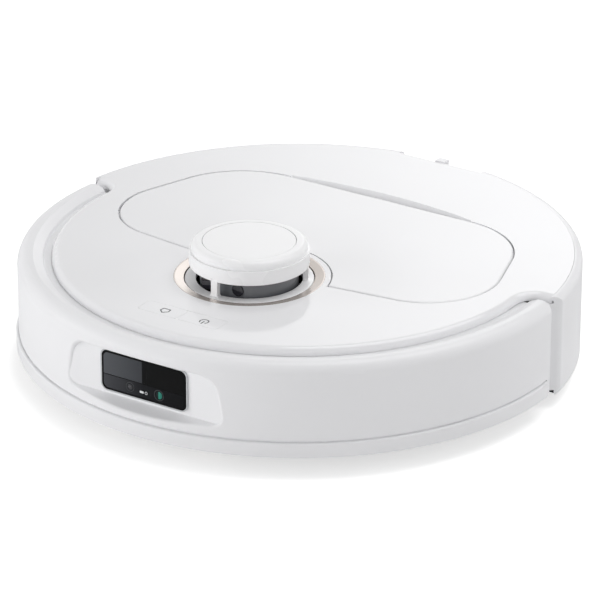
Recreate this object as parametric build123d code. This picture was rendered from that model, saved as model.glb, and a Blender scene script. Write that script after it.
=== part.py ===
# Robot vacuum cleaner with a laser turret, as separate named pieces.
# Millimetres. The floor is z = 0, the front (bumper, sensor window) faces -Y,
# the robot's left side is +X, and the body's axis is the Z axis.
import os
from math import hypot, sqrt

from build123d import *

# Overall sizes
body_radius = 175.0
total_height = 96.5
deck_height = 73.5
floor_gap = 8.5
floor_plate = 3.0
plate = 2.5
seat_gap = 0.1
running_gap = 0.05
press_gap = 0.02

# Bumper
bumper_radius = body_radius - 1.6
bumper_bottom = 13.8
bumper_top = deck_height - 0.9
bumper_wall = 2.4
bumper_round = 7.0
bumper_crease_radius = bumper_radius - 9.9
bumper_end_y = 13.7
bumper_end_round = 4.0
bumper_travel = 4.0
stop_gap = 0.5
strip_height = 9.3
strip_end_y = 8.7
strip_end_round = 4.0
groove_height = 1.0
groove_depth = 0.8
spring_x = 72.0
spring_z = 40.0
spring_length = 11.2
spring_stand = 2.5
spring_radius = 4.0
spring_wire = 1.1
spring_boss_radius = 5.0
spring_boss_skin = 0.4
rib_turn = 42.0
rib_half = 2.0
switch_half = 6.0
switch_z = (36.0, 46.0)

# Sensor window in the bumper's pocket
window_width = 60.8
window_height = 25.5
window_z = 46.4
window_front_y = 10.3 - body_radius
window_proud = 0.9
window_corner = 4.0
window_rebate = (8.0, 5.0)
bezel_width = 0.9
pocket_half_bottom = 56.2
pocket_half_top = 49.7
pocket_bottom = 31.0
pocket_top = 60.3
pocket_lower_round = 5.5
pocket_upper_round = 12.0
pocket_draft = 20.0
pocket_crease_round = 2.0
lens_offset = 10.4
lens_z = 39.1
lens_tube_radius = 3.2
camera_tube_radius = 4.6
camera_z = 51.5
module_post_radius = 2.2
module_post_margin = 0.4
module_margin = 2.0

# Deck, lid and keys
rim_radius = body_radius - 23.0
rim_round = 4.4
rim_drop = 2.0
rim_band = 4.0
rear_deck_radius = body_radius - 5.3
deck_step_y = 20.0
deck_step_round = 13.0
skirt_radius = body_radius - 29.0
skirt_wall = 2.4
trough_radius = body_radius - 19.0
trough_top = deck_height - 8.1
trough_plate = 2.0
lid_thickness = 2.9
lid_gap = 0.35
lid_swing_gap = 0.8
lid_edge_round = 1.5
lid_back_y = 92.3
lid_back_half = 108.0
lid_front_half = 147.3
lid_front_y = -29.3
lid_front_slope = 0.12
lid_back_round = 55.0
lid_front_round = 46.0
lid_notch_radius = 50.5
lid_notch_gap = 0.9
scoop_radius = 330.0
scoop_depth = 6.2
scoop_width = 130.0
scoop_slope = 35.0
hinge_y = -38.0
hinge_pin_radius = 0.7
hinge_pin_x = (44.3, 62.0)
hinge_relief_x = (44.0, 97.0)
hinge_relief_y = (-43.5, -33.0)
tray_floor = deck_height - 3.4
tray_plate = 1.8
tray_lip = 1.6
key_width = 28.2
key_depth = 13.4
key_corner = 2.0
key_y = 50.4 - body_radius
key_gap = 0.2
key_stem_radius = 2.5
key_stem_length = 7.4
key_board_depth = 11.4

# Laser turret
turret_y = -54.0
trim_radius = 46.0
trim_land = 0.8
trim_drop = 0.9
trim_depth = 3.6
cap_radius = 36.75
cap_bottom = total_height - 13.1
cap_seam = total_height - 5.2
cap_upper_radius = 35.4
cap_round = 3.4
cap_disc_radius = 28.5
cap_disc_depth = 1.3
cage_ring_radius = 39.4
cage_ring_bottom = deck_height - 4.1
cage_ring_top = deck_height - 1.1
cage_round = 0.8
pillar_width = 4.6
pillar_foot_round = 1.5
pillar_turns = (-2, 118, 238)
rotor_radius = 30.0
rotor_bottom = 58.6
rotor_top = total_height - 13.9
rotor_post_radius = 8.0
rotor_roof = 8.0
pulley_radius = 4.2
pulley_flange = 1.2
rotor_pulley_radius = 30.8
lidar_motor_at = (52.0, -84.0)
lidar_motor_radius = 9.0
lidar_motor_bottom = 42.0
lidar_shaft_radius = 1.0
laser_base_z = (54.4, 57.6)
belt_z = (59.9, 62.1)
belt_play = 0.3
belt_thickness = 0.8
lens_face_y = -26.0
lens_height = total_height - 20.9
lens_spots = ((-11.5, 5.5), (9.5, 3.9))

# Chassis and rear shell
chassis_radius = body_radius - 9.0
chassis_wall_radius = body_radius - 21.0
under_parts_radius = body_radius - 23.0
post_radius = 2.6
rear_shell_wall = 2.8
rear_shell_inner = body_radius - rear_shell_wall
rear_edge_x = (body_radius - 7.4, body_radius - 1.5)
rear_edge_run = 6.4
rear_edge_rounds = (4.0, 8.0)
rear_seam = 0.15
shoulder_round = 4.6
ledge_radius = body_radius - 11.0
end_wall = 2.4
port_half = 31.0
port_y = body_radius - 9.6
port_depth = 9.5
vent_width = 4.4
vent_length = 30.0
vent_turns = [30 + 3.2 * i for i in range(11)]
grille_slit = 2.2

# Drive wheels
wheel_x = 112.0
wheel_radius = 32.0
wheel_width = 20.0
hub_radius = 24.5
hub_dish = 5.0
axle_radius = 3.0
tread_depth = 1.6
lugs = 20
lug_half = 2.6
arm_x = (86.0, 99.5)
arm_round = 13.0
pivot_y = -44.0
pivot_z = 34.0
pivot_radius = 2.5
motor_y = -64.0
motor_z = 36.0
motor_radius = 11.0
motor_inner_x = 64.0
housing_x = (82.6, 127.4)
housing_y = (-49.8, 41.0)
housing_top = 67.5
housing_wall = 2.0
bracket_x = (101.0, 104.0)

# Front caster
caster_y = 35.0 - body_radius
caster_trail = 5.0
caster_radius = 12.0
caster_width = 13.0
caster_tread_round = 2.5
caster_axle_radius = 1.6
fork_radius = 18.4
fork_shoulder = 18.5
fork_neck = 15.4
fork_top = 26.6
fork_play = 0.6
socket_wall = 1.6
socket_shoulder = 24.4
socket_neck = 16.0
socket_top = 29.0
swivel_radius = 4.0
swivel_top = 40.5

# Main brush, side brush and fan
brush_y = 4.0
brush_z = 25.0
brush_radius = 19.0
brush_half = 70.0
brush_blades = 5
blade_thickness = 2.4
blade_twist = 70.0
brush_core_radius = 6.0
brush_sleeve = 3.5
brush_pin_radius = 3.0
brush_play = 3.0
tunnel_wall = 2.4
tunnel_half = 71.4
duct_half = 34.0
duct_wall = 2.0
duct_z = (34.0, 47.0)
brush_motor_y = -36.0
gear_case_x = (-82.2, -73.8)
guard_bars = (-56, -28, 0, 28, 56)
side_brush_at = (-92.0, -92.0)
side_brush_turn = -127.0
side_hub_radius = 9.0
side_stalk_length = 32.0
side_arm_length = 52.0
side_motor_radius = 17.0
fan_at = (-26.0, 124.0)
fan_turn = 46.0
fan_radius = 31.0
fan_motor_radius = 14.2
fan_eye_radius = 13.0
impeller_radius = 26.0
impeller_vanes = 9

# Dust box and battery
bin_half = 80.0
bin_y = (34.0, 88.0)
bin_top = deck_height - 4.0
bin_wall = 1.8
bin_corner = 6.0
filter_x = 58.0
filter_z = (22.0, 60.0)
pleats = 24
battery_half = 38.5
battery_y = (-115.0, -48.0)
battery_top = 50.5
door_half = 43.7
door_y = (-116.7, -44.3)
board_z = 59.0
board_thickness = 1.6
board_chips = (
    (-96, -98, 18, 18, 2.2),
    (-70, -100, 12, 12, 1.8),
    (-78, -78, 16, 9, 5.0),
    (-100, -74, 9, 7, 4.0),
)
speaker_at = (82.0, -102.0)

far = 600.0
nodes = {}


def block(x, y, z):
    """A box between pairs of limits."""
    middle = ((x[0] + x[1]) / 2, (y[0] + y[1]) / 2, (z[0] + z[1]) / 2)
    return Pos(*middle) * Box(x[1] - x[0], y[1] - y[0], z[1] - z[0])


def drum(radius, z, at=(0.0, 0.0)):
    """An upright cylinder between two heights."""
    return Pos(at[0], at[1], (z[0] + z[1]) / 2) * Cylinder(radius, z[1] - z[0])


def rod(radius, x, y, z):
    """A cylinder along X."""
    return Pos((x[0] + x[1]) / 2, y, z) * Rot(0, 90, 0) * Cylinder(radius, x[1] - x[0])


def peg(radius, x, y, z):
    """A cylinder along Y."""
    return Pos(x, (y[0] + y[1]) / 2, z) * Rot(90, 0, 0) * Cylinder(radius, y[1] - y[0])


def outline(points, rounds=()):
    """A closed flat outline whose named corners are rounded."""
    face = make_face(Polyline(*points, close=True))
    for corner, radius in rounds:
        nearest = face.vertices().sort_by_distance((corner[0], corner[1], 0))[0]
        face = fillet(nearest, radius)
    return face


def turned(points, rounds=()):
    """A solid of revolution about Z from (radius, height) points."""
    return revolve(Plane.XZ * outline(points, rounds), Axis.Z)


def raised(face, z):
    """A flat outline given height between two levels."""
    return Pos(0, 0, z[0]) * extrude(face, z[1] - z[0])


def front_of(radius, x):
    """Where a circle about the body's axis stands at a distance from the middle, on the front side."""
    return -sqrt(radius**2 - x**2)


def across(face, x):
    """An outline drawn as (y, z) and given width along X."""
    return Pos(x[0], 0, 0) * extrude(Plane.YZ * face, x[1] - x[0])


def facing(face, y):
    """An outline drawn as (x, z) and given depth along Y."""
    return Pos(0, y[1], 0) * extrude(Plane.XZ * face, y[1] - y[0])


def panel(width, height, corner, y, z):
    """A rounded rectangle facing the front, between two depths, centred at height z."""
    return facing(Pos(0, z) * RectangleRounded(width, height, corner), y)


def behind(y):
    """Everything behind a plane across the body."""
    return block((-far, far), (y, far), (-far, far))


def both_sides(shape):
    """A shape with its mirror image on the other side of the body."""
    return shape + mirror(shape, Plane.YZ)


def upright_round(shape, radius):
    """A shape with its upright edges rounded."""
    return fillet(shape.edges().filter_by(Axis.Z), radius)


# Heights and depths that several pieces share
floor_top = floor_gap + floor_plate
deck_bottom = deck_height - plate
rim_bottom = deck_bottom - rim_drop
trough_bottom = trough_top - trough_plate
stop_y = bumper_end_y + bumper_travel + stop_gap
ledge_start_y = stop_y + 4.4

# Plan of the deck: a round front rim, and a wider round rear behind a curved step
front_disc = Circle(rim_radius)
rear_disc = Circle(rear_deck_radius) & (Pos(0, deck_step_y + far / 2) * Rectangle(far, far))
deck_plan = front_disc + rear_disc
step_x = sqrt(rim_radius**2 - deck_step_y**2)
for flip in (1, -1):
    corner = deck_plan.vertices().sort_by_distance((flip * step_x, deck_step_y, 0))[0]
    deck_plan = fillet(corner, deck_step_round)

# Plan of the lid: four rounded sides with a round bite for the turret
lid_mid_front = lid_front_y - lid_front_slope * lid_front_half
lid_corners = [
    (-lid_back_half, lid_back_y),
    (lid_back_half, lid_back_y),
    (lid_front_half, lid_front_y),
    (0, lid_mid_front),
    (-lid_front_half, lid_front_y),
]
lid_rounds = [(lid_corners[i], lid_back_round) for i in (0, 1)]
lid_rounds += [(lid_corners[i], lid_front_round) for i in (2, 4)]
lid_body = outline(lid_corners, lid_rounds)
turret_spot = Pos(0, turret_y)
lid_plan = lid_body - turret_spot * Circle(lid_notch_radius)
lid_hole = Pos(0, -lid_swing_gap / 2) * offset(lid_body, lid_gap + lid_swing_gap / 2)
lid_hole_plan = lid_hole - turret_spot * Circle(lid_notch_radius - lid_notch_gap)
scoop_plan = Pos(0, lid_back_y + scoop_depth - scoop_radius) * Circle(scoop_radius)
scoop_plan = scoop_plan & (Pos(0, lid_back_y) * Rectangle(scoop_width, 2 * scoop_depth + 4))

# Chassis tray with its openings
chassis = turned([
    (0, floor_gap),
    (chassis_radius - floor_plate, floor_gap),
    (chassis_radius, floor_top),
    (0, floor_top),
])
rear_floor_y = stop_y + end_wall + 3.0
rear_floor = drum(rear_shell_inner - 2 * seat_gap, (floor_gap, floor_top)) & behind(rear_floor_y)
wall_ring = drum(chassis_wall_radius, (floor_top, trough_bottom - seat_gap))
wall_ring -= drum(chassis_wall_radius - plate, (floor_top, far))
wall_ring -= behind(rear_floor_y + 1.3)
chassis += rear_floor + wall_ring
through = (0, 30)
wheel_hole_x = (housing_x[0] + 2.2, housing_x[1] - 1.4)
wheel_hole_y = (housing_y[0] + 2.8, housing_y[1] - housing_wall)
wheel_hole = block(wheel_hole_x, wheel_hole_y, through)
chassis -= both_sides(wheel_hole)
mouth_half = tunnel_half + 0.6
chassis -= block((-mouth_half, mouth_half), (brush_y - 23, brush_y + 23), through)
door_play = 0.3
door_hole = (door_half + door_play, (door_y[0] - door_play, door_y[1] + door_play))
chassis -= block((-door_hole[0], door_hole[0]), door_hole[1], through)
socket_bore = fork_radius + fork_play
socket_radius = socket_bore + socket_wall
chassis -= drum(socket_radius + 2 * seat_gap, through, (0, caster_y))
chassis -= drum(2 * brush_pin_radius, through, side_brush_at)
opening = (window_width - window_rebate[0], window_height - window_rebate[1])
module_post_x = opening[0] / 2 + module_post_radius + module_post_margin
module_half = module_post_x + module_margin
module_hole_y = (5.0 - body_radius, 35.0 - body_radius)
chassis -= block((-module_half - 5, module_half + 5), module_hole_y, (26, far))

# Cliff sensors, charging contacts and screws, let into the floor
cliff_plan = Rectangle(20, 9)
contact_plan = RectangleRounded(24, 10, 3)
cliff_spots = [Rot(0, 0, turn) * Pos(0, -under_parts_radius) for turn in (-72, -30, 30, 72)]
contact_spots = [Rot(0, 0, turn) * Pos(0, -under_parts_radius) for turn in (-13, 13)]
screw_spots = [(60, 112), (-60, 112), (0, 150), (136, 66), (-136, 66)]
screw_spots += [(56, -128), (-56, -128), (130, -74)]
screw_head_radius = 3.2
screw_head = (floor_gap - 0.2, floor_gap + 1.4)
screw_shank_radius = 1.4
screw_length = 6.0


def let_in(spots, plan, z):
    """One solid for each spot of an outline, between two heights."""
    return [spot * Pos(0, 0, z[0]) * extrude(plan, z[1] - z[0]) for spot in spots]


chassis -= let_in(cliff_spots, offset(cliff_plan, 2 * seat_gap), through)
chassis -= let_in(contact_spots, offset(contact_plan, 2 * seat_gap), through)
chassis -= [drum(screw_shank_radius + seat_gap, through, spot) for spot in screw_spots]
head_seat = (0, screw_head[1] + seat_gap)
chassis -= [drum(screw_head_radius + seat_gap, head_seat, spot) for spot in screw_spots]
spring_back = front_of(chassis_wall_radius, spring_x) - spring_stand
spring_ends = (spring_back - spring_length, spring_back)
seat_y = (spring_ends[1] + seat_gap, spring_ends[1] + 8.6)
chassis += both_sides(peg(spring_radius + 0.6, spring_x, seat_y, spring_z))
posts = [(18, -34, laser_base_z[0]), (-18, -34, laser_base_z[0]), (*lidar_motor_at, lidar_motor_bottom)]
posts += [(-54, -104, board_z), (-54, -66, board_z), (-74, -106, board_z)]
chassis += [drum(post_radius, (floor_top, top - seat_gap), (x, y)) for x, y, top in posts]
nodes["chassis_base"] = chassis
nodes["cliff_sensor_windows"] = Compound(let_in(cliff_spots, cliff_plan, (floor_gap, floor_top)))
contact_z = (floor_gap - 0.3, floor_top)
nodes["charge_contacts"] = Compound(let_in(contact_spots, contact_plan, contact_z))
nodes["base_screws"] = Compound([
    drum(screw_head_radius, screw_head, spot)
    + drum(screw_shank_radius, (screw_head[1], floor_top + screw_length), spot)
    for spot in screw_spots])

# Rear shell: a turned wall with a rounded shoulder, a curved leading edge, vents and a port recess
shoulder = deck_height - seat_gap
ledge_top = deck_bottom - seat_gap
ledge_bottom = ledge_top - 2.0
shell_profile = [
    (rear_shell_inner, floor_gap),
    (body_radius - 1.8, floor_gap),
    (body_radius, floor_gap + 2.1),
    (body_radius, shoulder),
    (rear_deck_radius + rear_seam, shoulder),
    (rear_deck_radius + rear_seam, ledge_top),
    (ledge_radius, ledge_top),
    (ledge_radius, ledge_bottom),
    (rear_shell_inner, ledge_bottom),
]
edge_corners = [
    (rear_edge_x[0], stop_y),
    (rear_edge_x[1], stop_y + rear_edge_run),
]
rear_points = [*edge_corners, (rear_edge_x[1], far), (-rear_edge_x[1], far)]
rear_points += [(-x, y) for x, y in reversed(edge_corners)]
rear_rounds = []
for (x, y), radius in zip(edge_corners, rear_edge_rounds):
    rear_rounds += [((x, y), radius), ((-x, y), radius)]
rear_plan = outline(rear_points, rear_rounds)
rear_shell = turned(shell_profile, [((body_radius, shoulder), shoulder_round)])
rear_shell = rear_shell & raised(rear_plan, (0, far))
front_of_ledge = ((-rear_deck_radius, rear_deck_radius), (0, ledge_start_y))
rear_shell -= block(*front_of_ledge, (60, ledge_top + running_gap))
end_plan = rear_plan - offset(rear_plan, -end_wall)
closing = raised(end_plan, (floor_top + seat_gap, ledge_bottom)) & drum(body_radius, (0, far))
closing = closing & both_sides(block((chassis_wall_radius + seat_gap, far), (0, 30), (0, far)))
rear_shell += closing
liner = 2.0
recess_bottom = deck_height - port_depth
liner_x = (-port_half - liner, port_half + liner)
liner_y = (port_y - liner - 0.2, rear_shell_inner + 0.5)
recess_liner = block(liner_x, liner_y, (recess_bottom - liner, ledge_top))
rear_shell += recess_liner & drum(rear_shell_inner + 0.5, (0, far))
rear_shell -= block((-port_half, port_half), (port_y, far), (recess_bottom, far))
vent_z = 40.0


def upright_slot(width, turn, depth):
    """A tall rounded slot through the rear wall at a turn about the body's axis."""
    slot = extrude(SlotOverall(vent_length, width, 90), depth, both=True)
    return Rot(0, 0, turn) * Pos(0, body_radius - 1.5, vent_z) * Rot(90, 0, 0) * slot


rear_shell -= [upright_slot(vent_width, turn, 4) for turn in vent_turns]
nodes["rear_shell"] = rear_shell
grille_r = (rear_shell_inner - 2.8, rear_shell_inner - 0.4)
grille_z = (vent_z - 20, vent_z + 20)
grille = drum(grille_r[1], grille_z) - drum(grille_r[0], grille_z)
vent_middle = (vent_turns[0] + vent_turns[-1]) / 2
grille = grille & (Rot(0, 0, vent_middle) * block((-58, 58), (80, far), (0, far)))
half_step = (vent_turns[1] - vent_turns[0]) / 2
grille -= [upright_slot(grille_slit, turn + half_step, 7) for turn in vent_turns[:-1]]
nodes["exhaust_grille"] = grille
port_nub_y = (port_y + 2 * seat_gap, port_y + 5.6)
nodes["dock_port"] = block((-3.6, 3.6), port_nub_y, (recess_bottom + seat_gap, deck_height + 0.8))

# Deck: plate, rim, skirt, trough under the bumper's lip, lid tray
deck = raised(deck_plan, (deck_bottom, deck_height))
rim_ring = raised(deck_plan - offset(deck_plan, -rim_band), (rim_bottom, deck_bottom))
deck += rim_ring - behind(ledge_start_y - 2 * seat_gap)
skirt_bore = drum(skirt_radius - skirt_wall, (0, far))
deck += drum(skirt_radius, (trough_bottom, deck_bottom)) - skirt_bore - behind(ledge_start_y)
trough = drum(trough_radius, (trough_bottom, trough_top)) - skirt_bore
deck += trough - behind(stop_y - 2 * seat_gap)
trim_hole_radius = trim_radius + seat_gap
tray_plan = offset(lid_hole, tray_lip) - turret_spot * Circle(trim_hole_radius)
tray_z = (tray_floor - tray_plate, deck_bottom)
deck += raised(tray_plan, tray_z)
deck += raised(offset(scoop_plan, 2), tray_z)
outer_top = deck.edges().group_by(Axis.Z)[-1]
deck = fillet([edge for edge in outer_top if edge.center().Y < deck_step_y + 1], rim_round)
deck -= raised(lid_hole_plan, (tray_floor, far))
deck -= Pos(0, 0, tray_floor) * extrude(scoop_plan, 6, taper=-scoop_slope)
under_tray = (0, tray_floor + 1)
deck -= block((-bin_half - 3, bin_half + 3), (bin_y[0] - 3, bin_y[1] + 1), under_tray)
hinge_relief = both_sides(block(hinge_relief_x, hinge_relief_y, under_tray))
deck -= hinge_relief & raised(lid_hole_plan, (0, far))
deck -= drum(trim_hole_radius, (0, far), (0, turret_y))
deck -= block((-port_half, port_half), (port_y, far), (0, far))
key_row = 2 * key_width + 3 * key_gap
key_hole = RectangleRounded(key_row, key_depth + 2 * key_gap, key_corner + key_gap)
deck -= raised(Pos(0, key_y) * key_hole, (0, far))
key_board_top = deck_bottom - key_board_depth
key_post_x = key_row / 2 + 2.5
deck += both_sides(drum(1.8, (key_board_top + seat_gap, deck_bottom), (key_post_x, key_y)))
hinge_z = deck_height - lid_thickness / 2
pin_hole = rod(hinge_pin_radius + press_gap, (hinge_pin_x[0] - 0.2, 48), hinge_y, hinge_z)
deck -= both_sides(pin_hole)
nodes["top_cover"] = deck
nodes["hinge_pins"] = both_sides(rod(hinge_pin_radius, hinge_pin_x, hinge_y, hinge_z))

# Lid
lid = raised(lid_plan, (deck_height - lid_thickness, deck_height))
notch_middle = Vector(0, turret_y, deck_height)
lid_top_edges = lid.edges().group_by(Axis.Z)[-1]
lid_rim = [edge for edge in lid_top_edges if (edge.center() - notch_middle).length > lid_notch_radius + 1]
lid = fillet(lid_rim, lid_edge_round)
lid_bore_x = (hinge_relief_x[0], hinge_pin_x[1] + 0.5)
lid_bore = rod(hinge_pin_radius + running_gap, lid_bore_x, hinge_y, hinge_z)
nodes["lid_panel"] = lid - both_sides(lid_bore)

# Keys and their board
key_middle = (key_width + key_gap) / 2
for name, flip in (("home_button", -1), ("power_button", 1)):
    cap = Pos(flip * key_middle, key_y) * RectangleRounded(key_width, key_depth, key_corner)
    key = raised(cap, (deck_bottom, deck_height))
    stem_z = (deck_bottom - key_stem_length, deck_bottom)
    nodes[name] = key + drum(key_stem_radius, stem_z, (flip * key_middle, key_y))
board_x = (-key_post_x - 1, key_post_x + 1)
board = block(board_x, (key_y - 9, key_y + 9), (key_board_top - board_thickness, key_board_top))
switch_top = key_board_top + 2.8
for middle in (-key_middle, key_middle):
    board += block((middle - 3, middle + 3), (key_y - 3, key_y + 3), (key_board_top, switch_top))
nodes["key_board"] = board

# Turret trim, cage, cap and cap disc
turret = Pos(0, turret_y, 0)
trim_inner = cage_ring_radius + 0.5
nodes["turret_trim_ring"] = turret * turned([
    (trim_radius, deck_height - trim_depth),
    (trim_radius, deck_height),
    (trim_radius - trim_land, deck_height),
    (trim_inner, deck_height - trim_drop),
    (trim_inner, deck_height - trim_depth),
])
pillar_inner = rotor_radius + 2.6
cage = turned([
    (pillar_inner, cage_ring_bottom),
    (cage_ring_radius, cage_ring_bottom),
    (cage_ring_radius, cage_ring_top),
    (pillar_inner, cage_ring_top),
], [((cage_ring_radius, cage_ring_top), cage_round)])
cage += turned([
    (pillar_inner, cap_bottom),
    (cap_radius, cap_bottom),
    (cap_radius, cap_seam),
    (pillar_inner, cap_seam),
], [((cap_radius, cap_bottom), cage_round)])
half = pillar_width / 2
foot = half + pillar_foot_round + 0.1
sunk = 0.5
right_side = [
    (foot, cage_ring_top - sunk),
    (foot, cage_ring_top),
    (half, cage_ring_top),
    (half, cap_bottom),
    (foot, cap_bottom),
    (foot, cap_bottom + sunk),
]
left_side = [(-x, z) for x, z in reversed(right_side)]
foot_corners = [(x, z) for x in (-half, half) for z in (cage_ring_top, cap_bottom)]
pillar_face = outline(right_side + left_side, [(spot, pillar_foot_round) for spot in foot_corners])
pillar = facing(pillar_face, (-cap_radius + cage_round, -pillar_inner - 0.3))
for turn in pillar_turns:
    cage += Rot(0, 0, turn) * pillar
nodes["turret_cage"] = turret * cage
cap_floor = cap_bottom + 2.6
cap_neck = pillar_inner - 2 * seat_gap
cap = turned([
    (0, cap_floor),
    (cap_neck, cap_floor),
    (cap_neck, cap_seam + seat_gap),
    (cap_upper_radius, cap_seam + seat_gap),
    (cap_upper_radius, total_height),
    (0, total_height),
], [((cap_upper_radius, total_height), cap_round)])
disc_z = (total_height - cap_disc_depth, total_height)
cap -= drum(cap_disc_radius + 0.25, (disc_z[0] - seat_gap, far))
nodes["turret_cap"] = turret * cap
disc = drum(cap_disc_radius, disc_z)
nodes["turret_disc"] = turret * fillet(disc.edges().group_by(Axis.Z)[-1], 0.4)

# Laser rotor with its lenses, base, motor, pulley and belt
rotor_flange = rotor_pulley_radius + 1.4
rotor_bore = rotor_post_radius + running_gap
groove_z = (belt_z[0] - belt_play, belt_z[1] + belt_play)
rotor = turned([
    (rotor_bore, rotor_bottom),
    (rotor_flange, rotor_bottom),
    (rotor_flange, groove_z[0]),
    (rotor_pulley_radius, groove_z[0]),
    (rotor_pulley_radius, groove_z[1]),
    (rotor_flange, groove_z[1]),
    (rotor_flange, groove_z[1] + 1),
    (rotor_radius, groove_z[1] + 1),
    (rotor_radius, rotor_top),
    (0, rotor_top),
    (0, rotor_top - rotor_roof),
    (rotor_bore, rotor_top - rotor_roof),
], [((rotor_radius, rotor_top), 1.5)])
rotor -= block((-24, 24), (-far, lens_face_y), (rotor_top - 13.1, rotor_top - 1.4))
lenses = []
for x, radius in lens_spots:
    rotor -= peg(radius + seat_gap, x, (lens_face_y - 0.1, lens_face_y + 4.1), lens_height)
    lenses.append(peg(radius, x, (lens_face_y - 0.8, lens_face_y + 3.8), lens_height))
nodes["laser_rotor"] = turret * rotor
nodes["laser_lenses"] = turret * Compound(lenses)
motor_spot = Pos(*lidar_motor_at)
base_edges = (turret_spot * Circle(38)).edges() + (motor_spot * Circle(13)).edges()
base_plate = raised(make_hull(base_edges), laser_base_z)
post_z = (laser_base_z[1], rotor_top - rotor_roof - 0.6)
base_plate += drum(rotor_post_radius, post_z, (0, turret_y))
base_plate -= drum(3 * lidar_shaft_radius, (0, far), lidar_motor_at)
base_plate += drum(lidar_motor_radius, (lidar_motor_bottom, laser_base_z[0]), lidar_motor_at)
base_plate += drum(lidar_shaft_radius, (50, belt_z[1] + 1.9), lidar_motor_at)
nodes["laser_base"] = base_plate
pulley = drum(pulley_radius, groove_z, lidar_motor_at)
for low in (groove_z[0] - 1, groove_z[1]):
    pulley += drum(pulley_radius + pulley_flange, (low, low + 1), lidar_motor_at)
nodes["laser_pulley"] = pulley - drum(lidar_shaft_radius + running_gap, (0, far), lidar_motor_at)


def belt_loop(slack):
    """The outline round both belt pulleys, standing off by a little slack."""
    big = turret_spot * Circle(rotor_pulley_radius + slack)
    small = motor_spot * Circle(pulley_radius + slack)
    return make_hull(big.edges() + small.edges())


belt_face = belt_loop(belt_play + belt_thickness) - belt_loop(belt_play)
nodes["laser_belt"] = raised(belt_face, belt_z)

# Bumper shell: turned wall, lip under the rim, closed ends, and the sensor pocket
lip_edge = (bumper_radius - 15.8, bumper_top - 2.6)
lip_foot_radius = lip_edge[0] - 1.0
lip_top = rim_bottom - stop_gap
lip_bottom = lip_top - 2.1
lip_inner = skirt_radius + bumper_travel + stop_gap
wall_inner = bumper_radius - bumper_wall
roof_bottom = bumper_top - bumper_wall
outer_line = [
    (bumper_radius, bumper_top),
    (bumper_crease_radius, bumper_top),
    lip_edge,
    (lip_foot_radius, lip_top),
    (lip_inner, lip_top),
    (lip_inner, lip_bottom),
]
inner_line = [
    (lip_foot_radius + 0.8, lip_bottom),
    (lip_edge[0] + 1.0, lip_edge[1] - 2.0),
    (bumper_crease_radius, roof_bottom),
    (wall_inner, roof_bottom),
    (wall_inner, bumper_bottom),
    (bumper_radius, bumper_bottom),
]
outer_round = ((bumper_radius, bumper_top), bumper_round)
inner_round = ((wall_inner, roof_bottom), bumper_round - bumper_wall)
shell = turned(outer_line + inner_line, [outer_round, inner_round])
end_fill = turned([
    *outer_line,
    (wall_inner, lip_bottom),
    (wall_inner, lip_bottom - bumper_wall),
    (bumper_radius, lip_bottom - bumper_wall),
], [outer_round])
end_block = turned([
    *outer_line,
    (bumper_crease_radius, lip_bottom),
    (bumper_crease_radius, bumper_bottom),
    (bumper_radius, bumper_bottom),
], [outer_round])
fill_start_y = -4.0
bumper = shell + (end_fill & behind(fill_start_y)) + (end_block & behind(bumper_end_y - bumper_wall))
side_x = bumper_radius + 0.8
end_corners = [(side_x, bumper_end_y), (-side_x, bumper_end_y)]
end_plan = outline(
    [*end_corners, (-side_x, -far), (side_x, -far)],
    [(spot, bumper_end_round) for spot in end_corners])
bumper = bumper & raised(end_plan, (0, far))
pocket_back_y = window_front_y + window_proud
lower_corners = [(-pocket_half_bottom, pocket_bottom), (pocket_half_bottom, pocket_bottom)]
upper_corners = [(pocket_half_top, pocket_top), (-pocket_half_top, pocket_top)]
pocket_rounds = [(spot, pocket_lower_round) for spot in lower_corners]
pocket_rounds += [(spot, pocket_upper_round) for spot in upper_corners]
pocket_face = outline(lower_corners + upper_corners, pocket_rounds)


def pocket(face, back):
    """The flared pocket as a solid, reaching back to a depth."""
    return Pos(0, back, 0) * extrude(Plane.XZ * face, 20, taper=-pocket_draft)


bulk = turned([
    (0, bumper_bottom),
    (bumper_radius, bumper_bottom),
    (bumper_radius, bumper_top),
    (0, bumper_top),
], [outer_round])
skin_back_y = pocket_back_y + bumper_wall
bumper += pocket(offset(pocket_face, bumper_wall), skin_back_y) & bulk
bumper -= pocket(pocket_face, pocket_back_y)


def on_wall(edge):
    """Whether an edge runs along the bumper's outer wall."""
    spots = edge.positions([0, 0.5, 1])
    return all(abs(hypot(spot.X, spot.Y) - bumper_radius) < press_gap for spot in spots)


def in_pocket(spot):
    """Whether a point lies within the pocket's mouth."""
    return abs(spot.X) < pocket_half_bottom + 2 and pocket_bottom - 5 < spot.Z < pocket_top + 4.5


mouth = [edge for edge in bumper.edges() if on_wall(edge) and in_pocket(edge.center())]
bumper = fillet(mouth, pocket_crease_round)
bumper -= panel(*opening, 3, (pocket_back_y - 1, skin_back_y + 1), window_z)
deck_sweep = raised(offset(deck_plan, stop_gap), (rim_bottom - 0.4, far))
bumper -= Pos(0, -bumper_travel - seat_gap, 0) * deck_sweep
strip_top = bumper_bottom + strip_height
groove_profile = [
    (bumper_radius - groove_depth, strip_top),
    (bumper_radius + 1, strip_top),
    (bumper_radius + 1, strip_top + groove_height),
    (bumper_radius - groove_depth, strip_top + groove_height),
]
bumper -= turned(groove_profile) - behind(strip_end_y)
boss_root = front_of(bumper_radius - spring_boss_skin, spring_x + spring_boss_radius)
boss_y = (boss_root, spring_ends[0] - seat_gap)
bumper += both_sides(peg(spring_boss_radius, spring_x, boss_y, spring_z))
rib_y = (3.5 - body_radius, 11.4 - body_radius)
bumper += both_sides(Rot(0, 0, rib_turn) * block((-rib_half, rib_half), rib_y, switch_z))
module_y = (19.0 - body_radius, 20.6 - body_radius)
post_y = (skin_back_y - 1, module_y[0] - seat_gap)
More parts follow.
